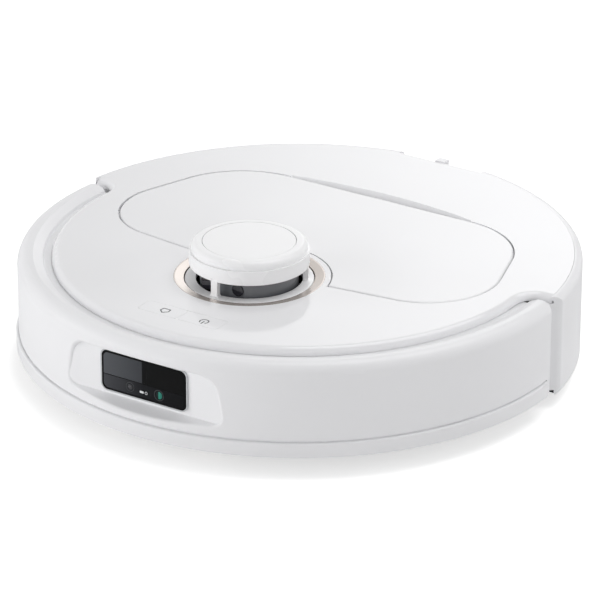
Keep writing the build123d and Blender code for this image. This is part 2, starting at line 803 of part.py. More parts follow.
bumper += both_sides(peg(module_post_radius, module_post_x, post_y, window_z))
nodes["bumper_shell"] = bumper
strip = turned([
    (bumper_radius + running_gap, bumper_bottom),
    (body_radius, bumper_bottom),
    (body_radius, strip_top),
    (bumper_radius + running_gap, strip_top),
], [((body_radius, strip_top), 1.2)])
strip_side = outline([
    (-far, 0),
    (strip_end_y, 0),
    (strip_end_y, strip_top),
    (-far, strip_top),
], [((strip_end_y, strip_top), strip_end_round)])
nodes["bumper_strip"] = strip & across(strip_side, (-far, far))

# Window, bezel and sensor module, carried by the bumper
frame_depth = (window_front_y, pocket_back_y - seat_gap)
bezel_size = (window_width + 2 * bezel_width, window_height + 2 * bezel_width)
bezel = panel(*bezel_size, window_corner + bezel_width, frame_depth, window_z)
bezel -= panel(window_width + seat_gap, window_height + seat_gap, window_corner, (-far, far), window_z)
nodes["window_bezel"] = bezel
pane = (window_width - seat_gap, window_height - seat_gap)
nodes["sensor_window"] = panel(*pane, window_corner, frame_depth, window_z)
module = block((-module_half, module_half), module_y, (window_z - 9, window_z + 9))
tube_y = (pocket_back_y + 0.4, module_y[0])
for x in (-lens_offset, lens_offset):
    module += peg(lens_tube_radius, x, tube_y, lens_z + 0.4)
module += block((-2.6, 2.6), tube_y, (lens_z - 1.4, lens_z + 1.4))
module += peg(camera_tube_radius, 0, tube_y, camera_z)
nodes["sensor_module"] = module

# Bumper springs and switches on the chassis wall
coil = peg(spring_radius, spring_x, spring_ends, spring_z)
coil -= peg(spring_radius - spring_wire, spring_x, (-far, far), spring_z)
nodes["bumper_springs"] = both_sides(coil)
switch_y = (16.4 - body_radius, -chassis_wall_radius - 2 * seat_gap)
switch = Rot(0, 0, rib_turn) * block((-switch_half, switch_half), switch_y, switch_z)
nodes["bumper_switches"] = both_sides(switch)

# Wheel modules
arm_ends = (Pos(0, wheel_radius) * Circle(arm_round)).edges()
arm_ends += (Pos(motor_y, motor_z) * Circle(motor_radius + 1)).edges()
arm = across(make_hull(arm_ends), arm_x)
arm -= rod(pivot_radius + running_gap, (0, 130), pivot_y, pivot_z)
motor = rod(motor_radius, (motor_inner_x, arm_x[0]), motor_y, motor_z)
wheel_in = wheel_x - wheel_width / 2
wheel_out = wheel_x + wheel_width / 2
axle = rod(axle_radius, (arm_x[1], wheel_out - 4), 0, wheel_radius)
hub = rod(hub_radius, (wheel_in, wheel_out), 0, wheel_radius)
hub -= rod(hub_radius - 4, (wheel_out - hub_dish, wheel_out + 1), 0, wheel_radius)
spoke = block((wheel_out - hub_dish, wheel_out - hub_dish / 2), (-2, 2), (6, hub_radius - 3))
hub += rod(7.0, (wheel_out - hub_dish - 1, wheel_out - 1.5), 0, wheel_radius)
hub += [Pos(0, 0, wheel_radius) * Rot(60 * i, 0, 0) * spoke for i in range(6)]
hub -= rod(axle_radius + running_gap, (wheel_in - 1, wheel_out - 3.5), 0, wheel_radius)
tread_foot = wheel_radius - tread_depth
tyre = rod(tread_foot, (wheel_in, wheel_out), 0, wheel_radius)
lug = block((wheel_in, wheel_out), (-lug_half, lug_half), (tread_foot - 1.5, wheel_radius))
for i in range(lugs):
    tyre += Pos(0, 0, wheel_radius) * Rot(360 * i / lugs, 0, 0) * lug
tyre = tyre & rod(wheel_radius, (wheel_in, wheel_out), 0, wheel_radius)
tyre -= rod(hub_radius + press_gap, (0, far), 0, wheel_radius)
housing = block(housing_x, housing_y, (floor_top + seat_gap, housing_top))
hollow_x = (housing_x[0] + housing_wall, housing_x[1] - housing_wall)
hollow_y = (housing_y[0] - 10, housing_y[1] - housing_wall)
housing -= block(hollow_x, hollow_y, (0, housing_top - housing_wall))
housing += block(bracket_x, (housing_y[0], pivot_y + 5.4), (26, housing_top - 1))
pin_x = (housing_x[0], bracket_x[1])
housing -= rod(pivot_radius + press_gap, (pin_x[0] - 2, pin_x[1] + 2), pivot_y, pivot_z)
nodes["wheel_housings"] = both_sides(housing)
nodes["pivot_pins"] = both_sides(rod(pivot_radius, pin_x, pivot_y, pivot_z))
for name, shape in (("drive_arm", arm + motor + axle), ("wheel_hub", hub), ("wheel_tyre", tyre)):
    nodes["left_" + name] = shape
    nodes["right_" + name] = mirror(shape, Plane.YZ)

# Caster: its fork and socket narrow upwards, clear of the sensor pocket when the bumper is pressed
caster = Pos(0, caster_y, 0)
socket = turned([
    (0, floor_gap),
    (socket_radius, floor_gap),
    (socket_radius, socket_shoulder),
    (socket_neck, socket_top),
    (0, socket_top),
])
socket -= turned([
    (0, 0),
    (socket_bore, 0),
    (socket_bore, fork_shoulder + 0.5 * fork_play),
    (fork_neck + 0.5 * fork_play, fork_top + fork_play),
    (0, fork_top + fork_play),
])
socket += drum(2 * swivel_radius, (socket_top - 1, swivel_top + 3.5))
socket -= drum(swivel_radius + running_gap, (0, swivel_top + 0.5))
nodes["caster_socket"] = caster * socket
fork_bottom = floor_gap + 2 * seat_gap
fork = turned([
    (0, fork_bottom),
    (fork_radius, fork_bottom),
    (fork_radius, fork_shoulder),
    (fork_neck, fork_top),
    (0, fork_top),
], [((fork_radius, fork_bottom), 2.0)])
fork += drum(swivel_radius, (fork_top - 1, swivel_top))
slot_half = caster_width / 2 + fork_play
slot_y = (caster_trail - caster_radius - 1, far)
fork -= block((-slot_half, slot_half), slot_y, (0, 2 * caster_radius + 0.8))
axle_x = (-13.5, 13.5)
axle_hole_x = (axle_x[0] - 0.5, axle_x[1] + 0.5)
fork -= rod(caster_axle_radius + press_gap, axle_hole_x, caster_trail, caster_radius)
nodes["caster_fork"] = caster * fork
nodes["caster_axle"] = caster * rod(caster_axle_radius, axle_x, caster_trail, caster_radius)
roller = rod(caster_radius, (-caster_width / 2, caster_width / 2), caster_trail, caster_radius)
roller = fillet(roller.edges().filter_by(GeomType.CIRCLE), caster_tread_round)
roller -= rod(caster_axle_radius + running_gap, (-20, 20), caster_trail, caster_radius)
nodes["caster_wheel"] = caster * roller

# Main brush: shaft, twisted rubber blades, tunnel, gear case, motor, guard
pin_ends = (-tunnel_half - 4.6, tunnel_half + 2.0)
shaft = rod(brush_core_radius, (-brush_half - 1, brush_half + 1), brush_y, brush_z)
nodes["brush_shaft"] = shaft + rod(brush_pin_radius, pin_ends, brush_y, brush_z)
star = Circle(brush_core_radius + brush_sleeve)
blade_middle = Pos((brush_core_radius + brush_radius) / 2, 0)
blade = blade_middle * Rectangle(brush_radius - brush_core_radius, blade_thickness)
for i in range(brush_blades):
    star += Rot(0, 0, 360 * i / brush_blades) * blade
blade_run = (0, 0, brush_half - 1)
half_brush = Solid.extrude_linear_with_rotation(star.faces()[0], (0, 0, 0), blade_run, blade_twist)
half_brush = Pos(0, brush_y, brush_z) * Rot(0, 90, 0) * half_brush
blades = half_brush + mirror(half_brush, Plane.YZ)
nodes["brush_blades"] = blades - rod(brush_core_radius + press_gap, (-far, far), brush_y, brush_z)
brush_tunnel_radius = brush_radius + brush_play
tunnel_outer = brush_tunnel_radius + tunnel_wall
tunnel_end = tunnel_half + 2.2
tunnel = rod(tunnel_outer, (-tunnel_end, tunnel_end), brush_y, brush_z)
tunnel -= rod(brush_tunnel_radius, (-tunnel_half, tunnel_half), brush_y, brush_z)
tunnel = tunnel & block((-far, far), (-far, far), (floor_top + seat_gap, far))
duct_outer = duct_half + duct_wall
duct = block((-duct_outer, duct_outer), (brush_y + 16, bin_y[0] - 0.3), duct_z)
tunnel += duct - rod(tunnel_outer - 1, (-far, far), brush_y, brush_z)
duct_bore = (duct_z[0] + duct_wall, duct_z[1] - duct_wall)
tunnel -= block((-duct_half, duct_half), (brush_y + 8, bin_y[0] + 1), duct_bore)
tunnel -= rod(brush_pin_radius + running_gap, (60, 80), brush_y, brush_z)
tunnel -= rod(brush_pin_radius + 0.6, (-80, -60), brush_y, brush_z)
nodes["brush_tunnel"] = tunnel
gear_ends = (Pos(brush_y, brush_z) * Circle(13)).edges()
gear_ends += (Pos(brush_motor_y, brush_z) * Circle(11)).edges()
gear_case = across(make_hull(gear_ends), gear_case_x)
gear_case -= rod(brush_pin_radius + running_gap, (pin_ends[0] - 0.6, -70), brush_y, brush_z)
nodes["brush_gear_motor"] = gear_case + rod(10.0, (gear_case_x[1], -28.0), brush_motor_y, brush_z)
guard_z = (floor_gap - 1.7, floor_gap - seat_gap)
guard = upright_round(block((-77, 77), (brush_y - 30, brush_y + 30), guard_z), 7.0)
guard -= block((-brush_half, brush_half), (brush_y - 12.5, brush_y + 12.5), (0, 20))
bar_ring = Circle(brush_radius + 2.4) - Circle(brush_radius + 0.6)
bar_below = Pos(brush_y, guard_z[1] / 2) * Rectangle(60, guard_z[1])
bar_ring = (Pos(brush_y, brush_z) * bar_ring) & bar_below
for x in guard_bars:
    guard += across(bar_ring, (x - 1.2, x + 1.2))
nodes["brush_guard"] = guard

# Side brush and its motor
side = Pos(*side_brush_at, 0)
hub_z = (3.6, floor_gap - 0.3)
side_hub = drum(side_hub_radius, hub_z)
side_hub += drum(brush_pin_radius, (hub_z[1], floor_top + 4))
tuft_start = side_stalk_length + 0.3
tufts = []
for turn in (-60, 60, 180):
    place = Rot(0, 0, side_brush_turn + turn)
    stalk = outline([(6, -4.2), (side_stalk_length, -2.6), (side_stalk_length, 2.6), (6, 4.2)])
    side_hub += place * raised(stalk, (hub_z[0], 6.4))
    tuft = outline([(tuft_start, -2.4), (side_arm_length, -7), (side_arm_length, 7), (tuft_start, 2.4)])
    tufts.append(place * raised(tuft, (3.9, 5.4)))
nodes["side_brush_hub"] = side * side_hub
nodes["side_brush_bristles"] = side * Compound(tufts)
side_motor = drum(side_motor_radius, (floor_top + seat_gap, 30)) + drum(10.0, (30, 46))
side_motor -= drum(brush_pin_radius + running_gap, (0, floor_top + 4.5))
nodes["side_brush_motor"] = side * side_motor

# Battery, its door, board, speaker
battery = block((-battery_half, battery_half), battery_y, (floor_top + 0.4, battery_top))
nodes["battery_pack"] = upright_round(battery, 5.0)
door = block((-door_half, door_half), door_y, (floor_gap, floor_top))
nodes["battery_door"] = upright_round(door, 0.6)
chip_z = board_z + board_thickness
main_board = block((-104, -50), (-108, -62), (board_z, chip_z))
for x, y, wide, deep, tall in board_chips:
    main_board += block((x, x + wide), (y, y + deep), (chip_z, chip_z + tall))
nodes["main_board"] = main_board
speaker_foot = floor_top + 0.3
nodes["speaker"] = Pos(*speaker_at, 0) * turned([
    (0, speaker_foot),
    (15, speaker_foot),
    (15, speaker_foot + 2.7),
    (11, speaker_foot + 10.7),
    (0, speaker_foot + 10.7),
])

# Dust box with filter
lid_plate = 2.0
dust_box = block((-bin_half, bin_half), bin_y, (floor_top + 0.3, bin_top - lid_plate - seat_gap))
dust_box = upright_round(dust_box, bin_corner)
inner_x = bin_half - bin_wall
inner_y = (bin_y[0] + bin_wall, bin_y[1] - bin_wall)
inside = block((-inner_x, inner_x), inner_y, (floor_top + 2.1, far))
dust_box -= upright_round(inside, bin_corner - bin_wall)
inlet_z = (duct_bore[0] + 1, duct_bore[1] - 1)
dust_box -= block((1 - duct_half, duct_half - 1), (bin_y[0] - 1, bin_y[0] + 5), inlet_z)
dust_box -= block((-filter_x, filter_x), (bin_y[1] - 5, bin_y[1] + 1), filter_z)
nodes["dust_box"] = dust_box
bin_lid = upright_round(block((-bin_half, bin_half), bin_y, (bin_top - lid_plate, bin_top)), bin_corner)
finger_slot = Pos(0, bin_y[0] + 16) * SlotOverall(60, 16)
nodes["dust_box_lid"] = bin_lid - raised(finger_slot, (bin_top - 0.9, far))
frame_y = (inner_y[1] - 8.0, inner_y[1] - seat_gap)
filter_frame = block((-filter_x - 4, filter_x + 4), frame_y, (filter_z[0] - 4, filter_z[1] + 4))
nodes["filter_frame"] = filter_frame - block((-filter_x, filter_x), (0, far), filter_z)
pleat_step = (2 * filter_x - 1) / pleats
zigzag = []
for i in range(2 * pleats + 1):
    zigzag.append((-filter_x + 0.5 + i * pleat_step / 2, frame_y[0] + (0.6 if i % 2 else 5.6)))
back_line = [(x, y + 1.6) for x, y in reversed(zigzag)]
pleat_face = make_face(Polyline(*zigzag, *back_line, close=True))
nodes["filter_pleats"] = raised(pleat_face, (filter_z[0] + 0.2, filter_z[1] - 0.2))

# Suction fan
fan = Pos(*fan_at, 0)
chamber = (32.0, 52.0)
motor_z_range = (floor_top + 2.3, chamber[0] - 0.4)
fan_case = drum(fan_radius, (floor_top + 0.3, chamber[1] + 2))
fan_case -= drum(fan_radius - 2, chamber)
fan_case -= drum(fan_motor_radius + 0.2, (motor_z_range[0], chamber[1]))
fan_case -= drum(fan_eye_radius, (chamber[1] - 2, far))
outlet = block((-13, 13), (fan_radius - 6, 40), chamber)
outlet -= drum(fan_radius - 1, (0, far))
outlet_bore = block((-11, 11), (fan_radius - 8, 50), (chamber[0] + 2, chamber[1] - 2))
fan_case += Rot(0, 0, fan_turn) * outlet
fan_case -= Rot(0, 0, fan_turn) * outlet_bore
fan_shaft_radius = 2.0
fan_case += drum(fan_motor_radius, motor_z_range)
fan_case += drum(fan_shaft_radius, (motor_z_range[1], chamber[0] + 6))
nodes["fan_unit"] = fan * fan_case
disc_bottom = chamber[0] + 2
impeller = drum(impeller_radius, (disc_bottom, disc_bottom + 2))
impeller += drum(7.0, (disc_bottom + 2, disc_bottom + 12))
vane = (Pos(13, 9) * (Circle(15) - Circle(13.6))) & (Pos(14, -4) * Rectangle(22, 12))
for i in range(impeller_vanes):
    impeller += Rot(0, 0, 360 * i / impeller_vanes) * raised(vane, (disc_bottom + 1.5, disc_bottom + 13))
impeller = impeller & drum(impeller_radius, (0, far))
nodes["fan_impeller"] = fan * (impeller - drum(fan_shaft_radius + running_gap, (0, disc_bottom + 4.4)))

os.makedirs("parts", exist_ok=True)
for name, shape in nodes.items():
    export_step(shape, "parts/" + name + ".step")
    print(name, round(shape.volume))
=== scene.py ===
# %% [markdown]
# # A robot vacuum cleaner, from bare CAD to a finished look
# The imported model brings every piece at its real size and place. This lesson leaves those shapes alone
# and gives each one the surface that its maker gave it: gloss and satin ABS, smoked polycarbonate, metal,
# rubber, bristle. Forms too fine for CAD, such as spring coils and brush fibres, are made here as meshes.

# %% Load the frame
import math
import random

import bmesh
import bpy
from mathutils import Matrix, Vector


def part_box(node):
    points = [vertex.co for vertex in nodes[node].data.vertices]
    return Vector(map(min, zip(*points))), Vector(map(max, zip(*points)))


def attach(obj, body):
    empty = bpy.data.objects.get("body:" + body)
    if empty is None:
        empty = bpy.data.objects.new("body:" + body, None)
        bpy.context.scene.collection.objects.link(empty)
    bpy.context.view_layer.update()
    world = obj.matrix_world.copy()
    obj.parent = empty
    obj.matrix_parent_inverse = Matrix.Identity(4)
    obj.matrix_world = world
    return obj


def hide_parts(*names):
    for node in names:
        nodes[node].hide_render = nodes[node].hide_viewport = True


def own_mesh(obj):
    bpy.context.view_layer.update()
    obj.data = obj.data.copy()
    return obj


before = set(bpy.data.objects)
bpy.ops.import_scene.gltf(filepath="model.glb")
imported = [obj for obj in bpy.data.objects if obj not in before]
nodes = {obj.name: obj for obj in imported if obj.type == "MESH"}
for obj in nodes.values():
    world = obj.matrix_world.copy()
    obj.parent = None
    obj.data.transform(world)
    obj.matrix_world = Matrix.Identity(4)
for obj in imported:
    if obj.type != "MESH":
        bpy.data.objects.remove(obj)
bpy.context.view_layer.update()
scene = bpy.context.scene

# %% [markdown]
# ## Camera
# The picture was taken with a long lens from a little above, one third of the way round from the front to
# the robot's left side. A long lens far away keeps the ellipses of the deck calm. The camera is turned in
# the order a tripod head turns: round the upright, down, then a touch of roll.

# %% Place the camera
lens_mm = 240.0
sensor_mm = 36.0
camera_turn = math.radians(33.5)
camera_yaw = math.radians(0.0223)
camera_pitch = math.radians(23.9331)
camera_roll = math.radians(0.094)
camera_away = 2.26614
camera_height = 1.04289

camera = bpy.data.objects.new("camera", bpy.data.cameras.new("camera"))
scene.collection.objects.link(camera)
camera.data.lens = lens_mm
camera.data.sensor_width = sensor_mm
camera.data.clip_end = 20.0
stand = Vector((camera_away * math.sin(camera_turn), -camera_away * math.cos(camera_turn), camera_height))
camera.matrix_world = (
    Matrix.Translation(stand)
    @ Matrix.Rotation(camera_turn - camera_yaw, 4, "Z")
    @ Matrix.Rotation(math.radians(90) - camera_pitch, 4, "X")
    @ Matrix.Rotation(camera_roll, 4, "Z")
)
scene.camera = camera
scene.view_settings.view_transform = "Standard"
print("camera stands at", stand)

# %% [markdown]
# ## Colours and nodes
# Colours are written as the sRGB hex values a designer would quote, and one function turns them to the
# linear values that the renderer adds up. One more small function adds a shader node, so that each
# material below reads as a short list of what feeds what.

# %% Two helpers for materials
def srgb(code):
    """An sRGB hex colour as linear RGBA."""
    shares = [int(code[i:i + 2], 16) / 255 for i in (0, 2, 4)]
    linear = [c / 12.92 if c <= 0.04045 else ((c + 0.055) / 1.055) ** 2.4 for c in shares]
    return (*linear, 1.0)


def add(tree, kind, inputs=None, **settings):
    """Adds a node with its settings; an input takes a value or another node's output."""
    node = tree.nodes.new(kind)
    for name, value in settings.items():
        setattr(node, name, value)
    for name, value in (inputs or {}).items():
        if isinstance(value, bpy.types.NodeSocket):
            tree.links.new(value, node.inputs[name])
        else:
            node.inputs[name].default_value = value
    return node


print("white ABS in linear light", [round(c, 3) for c in srgb("F1F1F3")])

# %% [markdown]
# ## Studio air
# The air round the object gives a little even light, and looks white. A stronger world would wash the object
# out, so the Light Path node tells the rays apart: the camera and reflections see white, and everything else
# gets the low level. The object's own colours then render as they are written.

# %% World
world = bpy.data.worlds.new("studio_air")
scene.world = world
world.use_nodes = True
air = world.node_tree
air.nodes.clear()
fill_strength = 0.25
path = add(air, "ShaderNodeLightPath")
seen = add(air, "ShaderNodeMath", {0: path.outputs["Is Camera Ray"], 1: path.outputs["Is Glossy Ray"]},
           operation="MAXIMUM")
seen = add(air, "ShaderNodeMath", {0: seen.outputs[0], 1: path.outputs["Is Transmission Ray"]},
           operation="MAXIMUM")
level = add(air, "ShaderNodeMapRange", {"Value": seen.outputs[0], "To Min": fill_strength, "To Max": 1.0})
glow = add(air, "ShaderNodeBackground", {"Color": (1, 1, 1, 1), "Strength": level.outputs[0]})
add(air, "ShaderNodeOutputWorld", {"Surface": glow.outputs[0]})
print("the world lights the object at", fill_strength)

# %% [markdown]
# ## Floor
# The object stands on plain white studio paper. A shadow catcher would need the compositor, so the paper is a
# real surface with a glow that only the camera sees. It looks white, and still takes the soft shadow.

# %% Floor
floor_mesh = bpy.data.meshes.new("floor")
reach = 6.0
floor_mesh.from_pydata([(-reach, -reach, 0), (reach, -reach, 0), (reach, reach, 0), (-reach, reach, 0)],
                       [], [(0, 1, 2, 3)])
floor = bpy.data.objects.new("floor", floor_mesh)
scene.collection.objects.link(floor)
floor_paper = bpy.data.materials.new("white_studio_paper")
floor_paper.use_nodes = True
paper = floor_paper.node_tree
paper_shader = paper.nodes["Principled BSDF"]
paper_shader.inputs["Base Color"].default_value = srgb("F4F4F4")
paper_shader.inputs["Roughness"].default_value = 0.9
paper_shader.inputs["Specular IOR Level"].default_value = 0.0
paper_path = add(paper, "ShaderNodeLightPath")
paper_lift = 0.60
lift = add(paper, "ShaderNodeMapRange", {"Value": paper_path.outputs["Is Camera Ray"], "To Max": paper_lift})
paper.links.new(lift.outputs[0], paper_shader.inputs["Emission Strength"])
paper_shader.inputs["Emission Color"].default_value = (1, 1, 1, 1)
floor_mesh.materials.append(floor_paper)
print("the floor glows at", paper_lift)

# %% [markdown]
# ## Lamps
# Large soft lamps light white plastic without hard shadows. Two stand low on the left, so the bumper and
# the turret fall off to the right, and two weaker ones keep the right side open. One hangs overhead. The
# last stands behind, where the glossy deck mirrors it. The low lamps don't show in reflections, or the deck
# would turn white when it is seen from the other sides.

# %% Hang the lamps
faded_lamp = "rear_gradient_softbox"
# Each lamp's place and width in metres, its power in watts, and whether reflections show it.
lamps = {
    "overhead_softbox": ((0.35, 0.55, 1.7), 1.6, 15.2, True),
    "front_left_softbox": ((-0.6, -1.9, 0.45), 1.0, 9.4, False),
    "left_softbox": ((-1.6, -1.0, 0.45), 1.0, 11.8, False),
    "front_right_softbox": ((1.6, -1.2, 0.7), 0.9, 5.0, False),
    "right_softbox": ((1.7, 1.0, 0.6), 0.9, 6.4, False),
    faded_lamp: ((-1.16, 1.97, 1.09), 1.15, 6.0, True),
}
aim = Vector((0, 0, 0.06))
for name, (spot, width, watts, mirrored) in lamps.items():
    lamp = bpy.data.lights.new(name, "AREA")
    lamp.shape = "SQUARE" if name == faded_lamp else "DISK"
    lamp.size = width
    lamp.energy = watts
    holder = bpy.data.objects.new(name, lamp)
    holder.location = spot
    holder.rotation_euler = (aim - Vector(spot)).to_track_quat("-Z", "Y").to_euler()
    holder.visible_glossy = mirrored
    scene.collection.objects.link(holder)
print("lamps", sorted(lamps))

# %% [markdown]
# ## A lamp that fades
# The rear lamp is square and dims across its width, like a real one with a cloth over one side. A second,
# weaker lamp beside it would show as a step in the glossy deck, so the lamp's own nodes do the dimming, and
# the deck brightens softly towards the right.

# %% Fade the rear lamp
dark_edge, bright_edge = 0.95, 0.25
rear_lamp = bpy.data.lights[faded_lamp]
rear_lamp.use_nodes = True
rear_tree = rear_lamp.node_tree
across_lamp = add(rear_tree, "ShaderNodeSeparateXYZ",
                  {"Vector": add(rear_tree, "ShaderNodeNewGeometry").outputs["Parametric"]})
fade = add(rear_tree, "ShaderNodeMapRange", {"Value": across_lamp.outputs["X"], "From Min": dark_edge,
                                            "From Max": bright_edge}, interpolation_type="SMOOTHSTEP")
rear_tree.links.new(fade.outputs[0], rear_tree.nodes["Emission"].inputs["Strength"])
print("rear lamp fades across", rear_lamp.size, "m")

# %% [markdown]
# ## Moulded plastics
# Nearly every outer piece is injection-moulded ABS. A polished mould gives the deck its wet gloss, with a
# very faint waviness; a spark-eroded mould gives the bumper its satin. Both are one recipe: a cloudy tint
# a shade apart, a little unevenness of roughness, and the mould's grain as a bump. Grain finer than about
# half a millimetre would not show, so it is drawn at that size.

# %% The recipe for moulded plastic
# One millimetre, in Blender's metres.
MM = 0.001
cloud_mm = 70.0
noise_low, noise_high = 0.3, 0.7
mould_uneven = 0.12


def moulded(name, colour, shade, roughness, ior, grain_mm, grain_depth_mm):
    """A plastic whose mould gave it a grain of this width and depth."""
    material = bpy.data.materials.new(name)
    material.use_nodes = True
    tree = material.node_tree
    shader = tree.nodes["Principled BSDF"]
    place = add(tree, "ShaderNodeTexCoord").outputs["Object"]
    clouds = add(tree, "ShaderNodeTexNoise", {"Vector": place, "Scale": 1 / (cloud_mm * MM), "Detail": 3.0})
    tint = add(tree, "ShaderNodeMix", {"Factor": clouds.outputs["Fac"], "A": srgb(colour), "B": srgb(shade)},
               data_type="RGBA")
    patch = add(tree, "ShaderNodeMapRange", {"Value": clouds.outputs["Fac"],
                                            "From Min": noise_low, "From Max": noise_high,
                                            "To Min": roughness * (1 - mould_uneven),
                                            "To Max": roughness * (1 + mould_uneven)})
    grain = add(tree, "ShaderNodeTexNoise", {"Vector": place, "Scale": 1 / (grain_mm * MM), "Detail": 2.0})
    relief = add(tree, "ShaderNodeBump", {"Height": grain.outputs["Fac"], "Distance": grain_depth_mm * MM,
                                         "Strength": 1.0})
    tree.links.new(tint.outputs["Result"], shader.inputs["Base Color"])
    tree.links.new(patch.outputs[0], shader.inputs["Roughness"])
    tree.links.new(relief.outputs[0], shader.inputs["Normal"])
    shader.inputs["IOR"].default_value = ior
    return material


print("clouds of tint are", cloud_mm, "mm wide")

# %% [markdown]
# ## White and grey mouldings
# The outside is white ABS in three finishes, and the pieces that are handled or roll are pale grey.
# Underneath and inside, makers use charcoal ABS, because it hides dust. Smoked polycarbonate covers the
# sensors: it is nearly black to the eye and lets infrared through.

# %% White, grey and smoke
abs_ior = 1.53
polycarbonate_ior = 1.585
# Polished mould: mirrors the lamps and the turret, with a ripple that only a straight edge would show.
gloss_white = moulded("abs_white_polished_mould", "F1F1F3", "EEEEF0", 0.07, abs_ior, 9.0, 0.002)
# Fine spark erosion: a broad soft sheen, and no picture in it.
satin_white = moulded("abs_white_spark_eroded", "F1F1F3", "EEEEF0", 0.34, abs_ior, 0.5, 0.004)
# Turret: the same white a shade brighter, as painted light for what the glossy deck bounces on to it, and
# glossier.
turret_white_painted_bounce = moulded("abs_white_painted_bounce_light", "F9F9FA", "F6F6F7", 0.26, abs_ior, 0.6, 0.002)
# Satin grey: the same grain in a cooler, darker tint.
pale_grey = moulded("abs_pale_grey_satin", "C4C6C8", "BDBFC1", 0.42, abs_ior, 0.5, 0.006)
# Coarse texture: dull, with a sparkle of grain at a low angle.
charcoal = moulded("abs_charcoal_textured", "34363A", "2C2E31", 0.55, abs_ior, 0.8, 0.03)
# Rotor: a middle grey with a soft sheen, painted light on a dark rotor, so that it still reads grey in the
# shade of its slot.
rotor_painted_light_grey = moulded("abs_rotor_painted_light_grey", "75777B", "6E7074", 0.30, abs_ior, 0.6, 0.004)
# Smoke: black with a clean gloss.
smoke_black = moulded("polycarbonate_smoke_black", "0C0D0F", "101114", 0.10, polycarbonate_ior, 8.0, 0.002)
mouldings = (gloss_white, satin_white, turret_white_painted_bounce, pale_grey, charcoal, rotor_painted_light_grey, smoke_black)
print("mouldings", [material.name for material in mouldings])

# %% [markdown]
# ## Rubber, nylon, paper and film
# The softer materials differ from ABS in sheen more than in colour. Rubber is dull and slightly mottled,
# nylon bristle is waxy, filter paper is creped, and the cells wear a shrunk film. The same recipe serves
# them all, with a coarser or finer grain.

# %% Soft and thin materials
rubber_ior, polyurethane_ior, nylon_ior, paper_ior = 1.52, 1.50, 1.53, 1.47
film_ior, mask_ior, silicone_ior, ink_ior = 1.54, 1.55, 1.43, 1.50
# Vulcanised tyre: almost no sheen, and the grain of the mould.
tyre_rubber = moulded("rubber_tyre_black", "202123", "18191A", 0.80, rubber_ior, 0.7, 0.03)
# Cast polyurethane blades: a soft waxy red.
brush_rubber = moulded("polyurethane_brush_red", "B4402F", "A33628", 0.50, polyurethane_ior, 0.8, 0.02)
# Ground belt: dull black with a fine nap.
belt_rubber = moulded("rubber_belt_black", "1B1B1C", "151516", 0.70, rubber_ior, 0.6, 0.02)
# Drawn nylon: smooth, with a long thin highlight down each fibre.
nylon = moulded("nylon_bristle_black", "2A2A2C", "1E1E20", 0.45, nylon_ior, 0.5, 0.01)
# Creped paper: chalky, uneven in tone.
filter_paper = moulded("filter_paper_creped", "EDEBE2", "E2DFD3", 0.95, paper_ior, 0.6, 0.05)
# Shrunk film: glossy, pulled into faint waves.
cell_film = moulded("pvc_shrink_film_blue", "2A4C86", "25447A", 0.30, film_ior, 3.0, 0.03)
# Solder mask: glassy green over a faint weave.
solder_mask = moulded("circuit_board_solder_mask", "135C38", "0F4C2E", 0.32, mask_ior, 1.2, 0.01)
# Smoked box: see-through grey, so the dust shows.
box_clear = 0.7
smoked_box = moulded("polycarbonate_smoked_box", "8A8E93", "82868B", 0.12, polycarbonate_ior, 8.0, 0.003)
smoked_box.node_tree.nodes["Principled BSDF"].inputs["Transmission Weight"].default_value = box_clear
# Moulded silicone: milky white, soft and nearly matt.
white_silicone = moulded("silicone_seal_white", "F4F4F4", "F0F0F1", 0.55, silicone_ior, 0.6, 0.004)
# Pad-printed ink: a flat grey film on the keys.
print_ink = moulded("ink_pad_printed_grey", "5E6063", "585A5D", 0.60, ink_ior, 0.5, 0.003)
print("soft and thin materials made")

# %% [markdown]
# ## Metals
# Metal keeps the default index and takes its colour from the base colour. Turned and drawn parts carry
# fine lines, which are a stretched noise on roughness and bump. The trim ring is plastic under a metallic
# lacquer, so it is a metal only by half.

# %% The recipe for metal
metal_uneven = 0.2


def metal(name, colour, shade, roughness, line_mm, line_depth_mm, stretch):
    """A metal with fine working lines, closest together along the axis that stretch makes largest."""
    material = bpy.data.materials.new(name)
    material.use_nodes = True
    tree = material.node_tree
    shader = tree.nodes["Principled BSDF"]
    place = add(tree, "ShaderNodeTexCoord").outputs["Object"]
    drawn = add(tree, "ShaderNodeMapping", {"Vector": place, "Scale": stretch})
    lines = add(tree, "ShaderNodeTexNoise", {"Vector": drawn.outputs[0], "Scale": 1 / (line_mm * MM),
                                            "Detail": 4.0})
    tint = add(tree, "ShaderNodeMix", {"Factor": lines.outputs["Fac"], "A": srgb(colour), "B": srgb(shade)},
               data_type="RGBA")
    worn = add(tree, "ShaderNodeMapRange", {"Value": lines.outputs["Fac"],
                                           "From Min": noise_low, "From Max": noise_high,
                                           "To Min": roughness * (1 - metal_uneven),
                                           "To Max": roughness * (1 + metal_uneven)})
    relief = add(tree, "ShaderNodeBump", {"Height": lines.outputs["Fac"], "Distance": line_depth_mm * MM,
                                         "Strength": 1.0})
    tree.links.new(tint.outputs["Result"], shader.inputs["Base Color"])
    tree.links.new(worn.outputs[0], shader.inputs["Roughness"])
    tree.links.new(relief.outputs[0], shader.inputs["Normal"])
    shader.inputs["Metallic"].default_value = 1.0
    return material


print("working lines vary the roughness by", metal_uneven, "either way")

# %% Lacquer, zinc, nickel and steel
# Metallic lacquer on the trim ring: half mirror, half warm pale body colour.
lacquer_metal = 0.5
champagne = metal("abs_champagne_metallic_lacquer", "D2CAC4", "CBC2BB", 0.18, 0.6, 0.001, (1, 1, 8))
champagne.node_tree.nodes["Principled BSDF"].inputs["Metallic"].default_value = lacquer_metal
# Zinc plate: a bluish bright grey, uneven from the bath.
steel = metal("steel_zinc_plated", "C2C4C7", "B2B4B8", 0.30, 0.6, 0.006, (1, 6, 1))
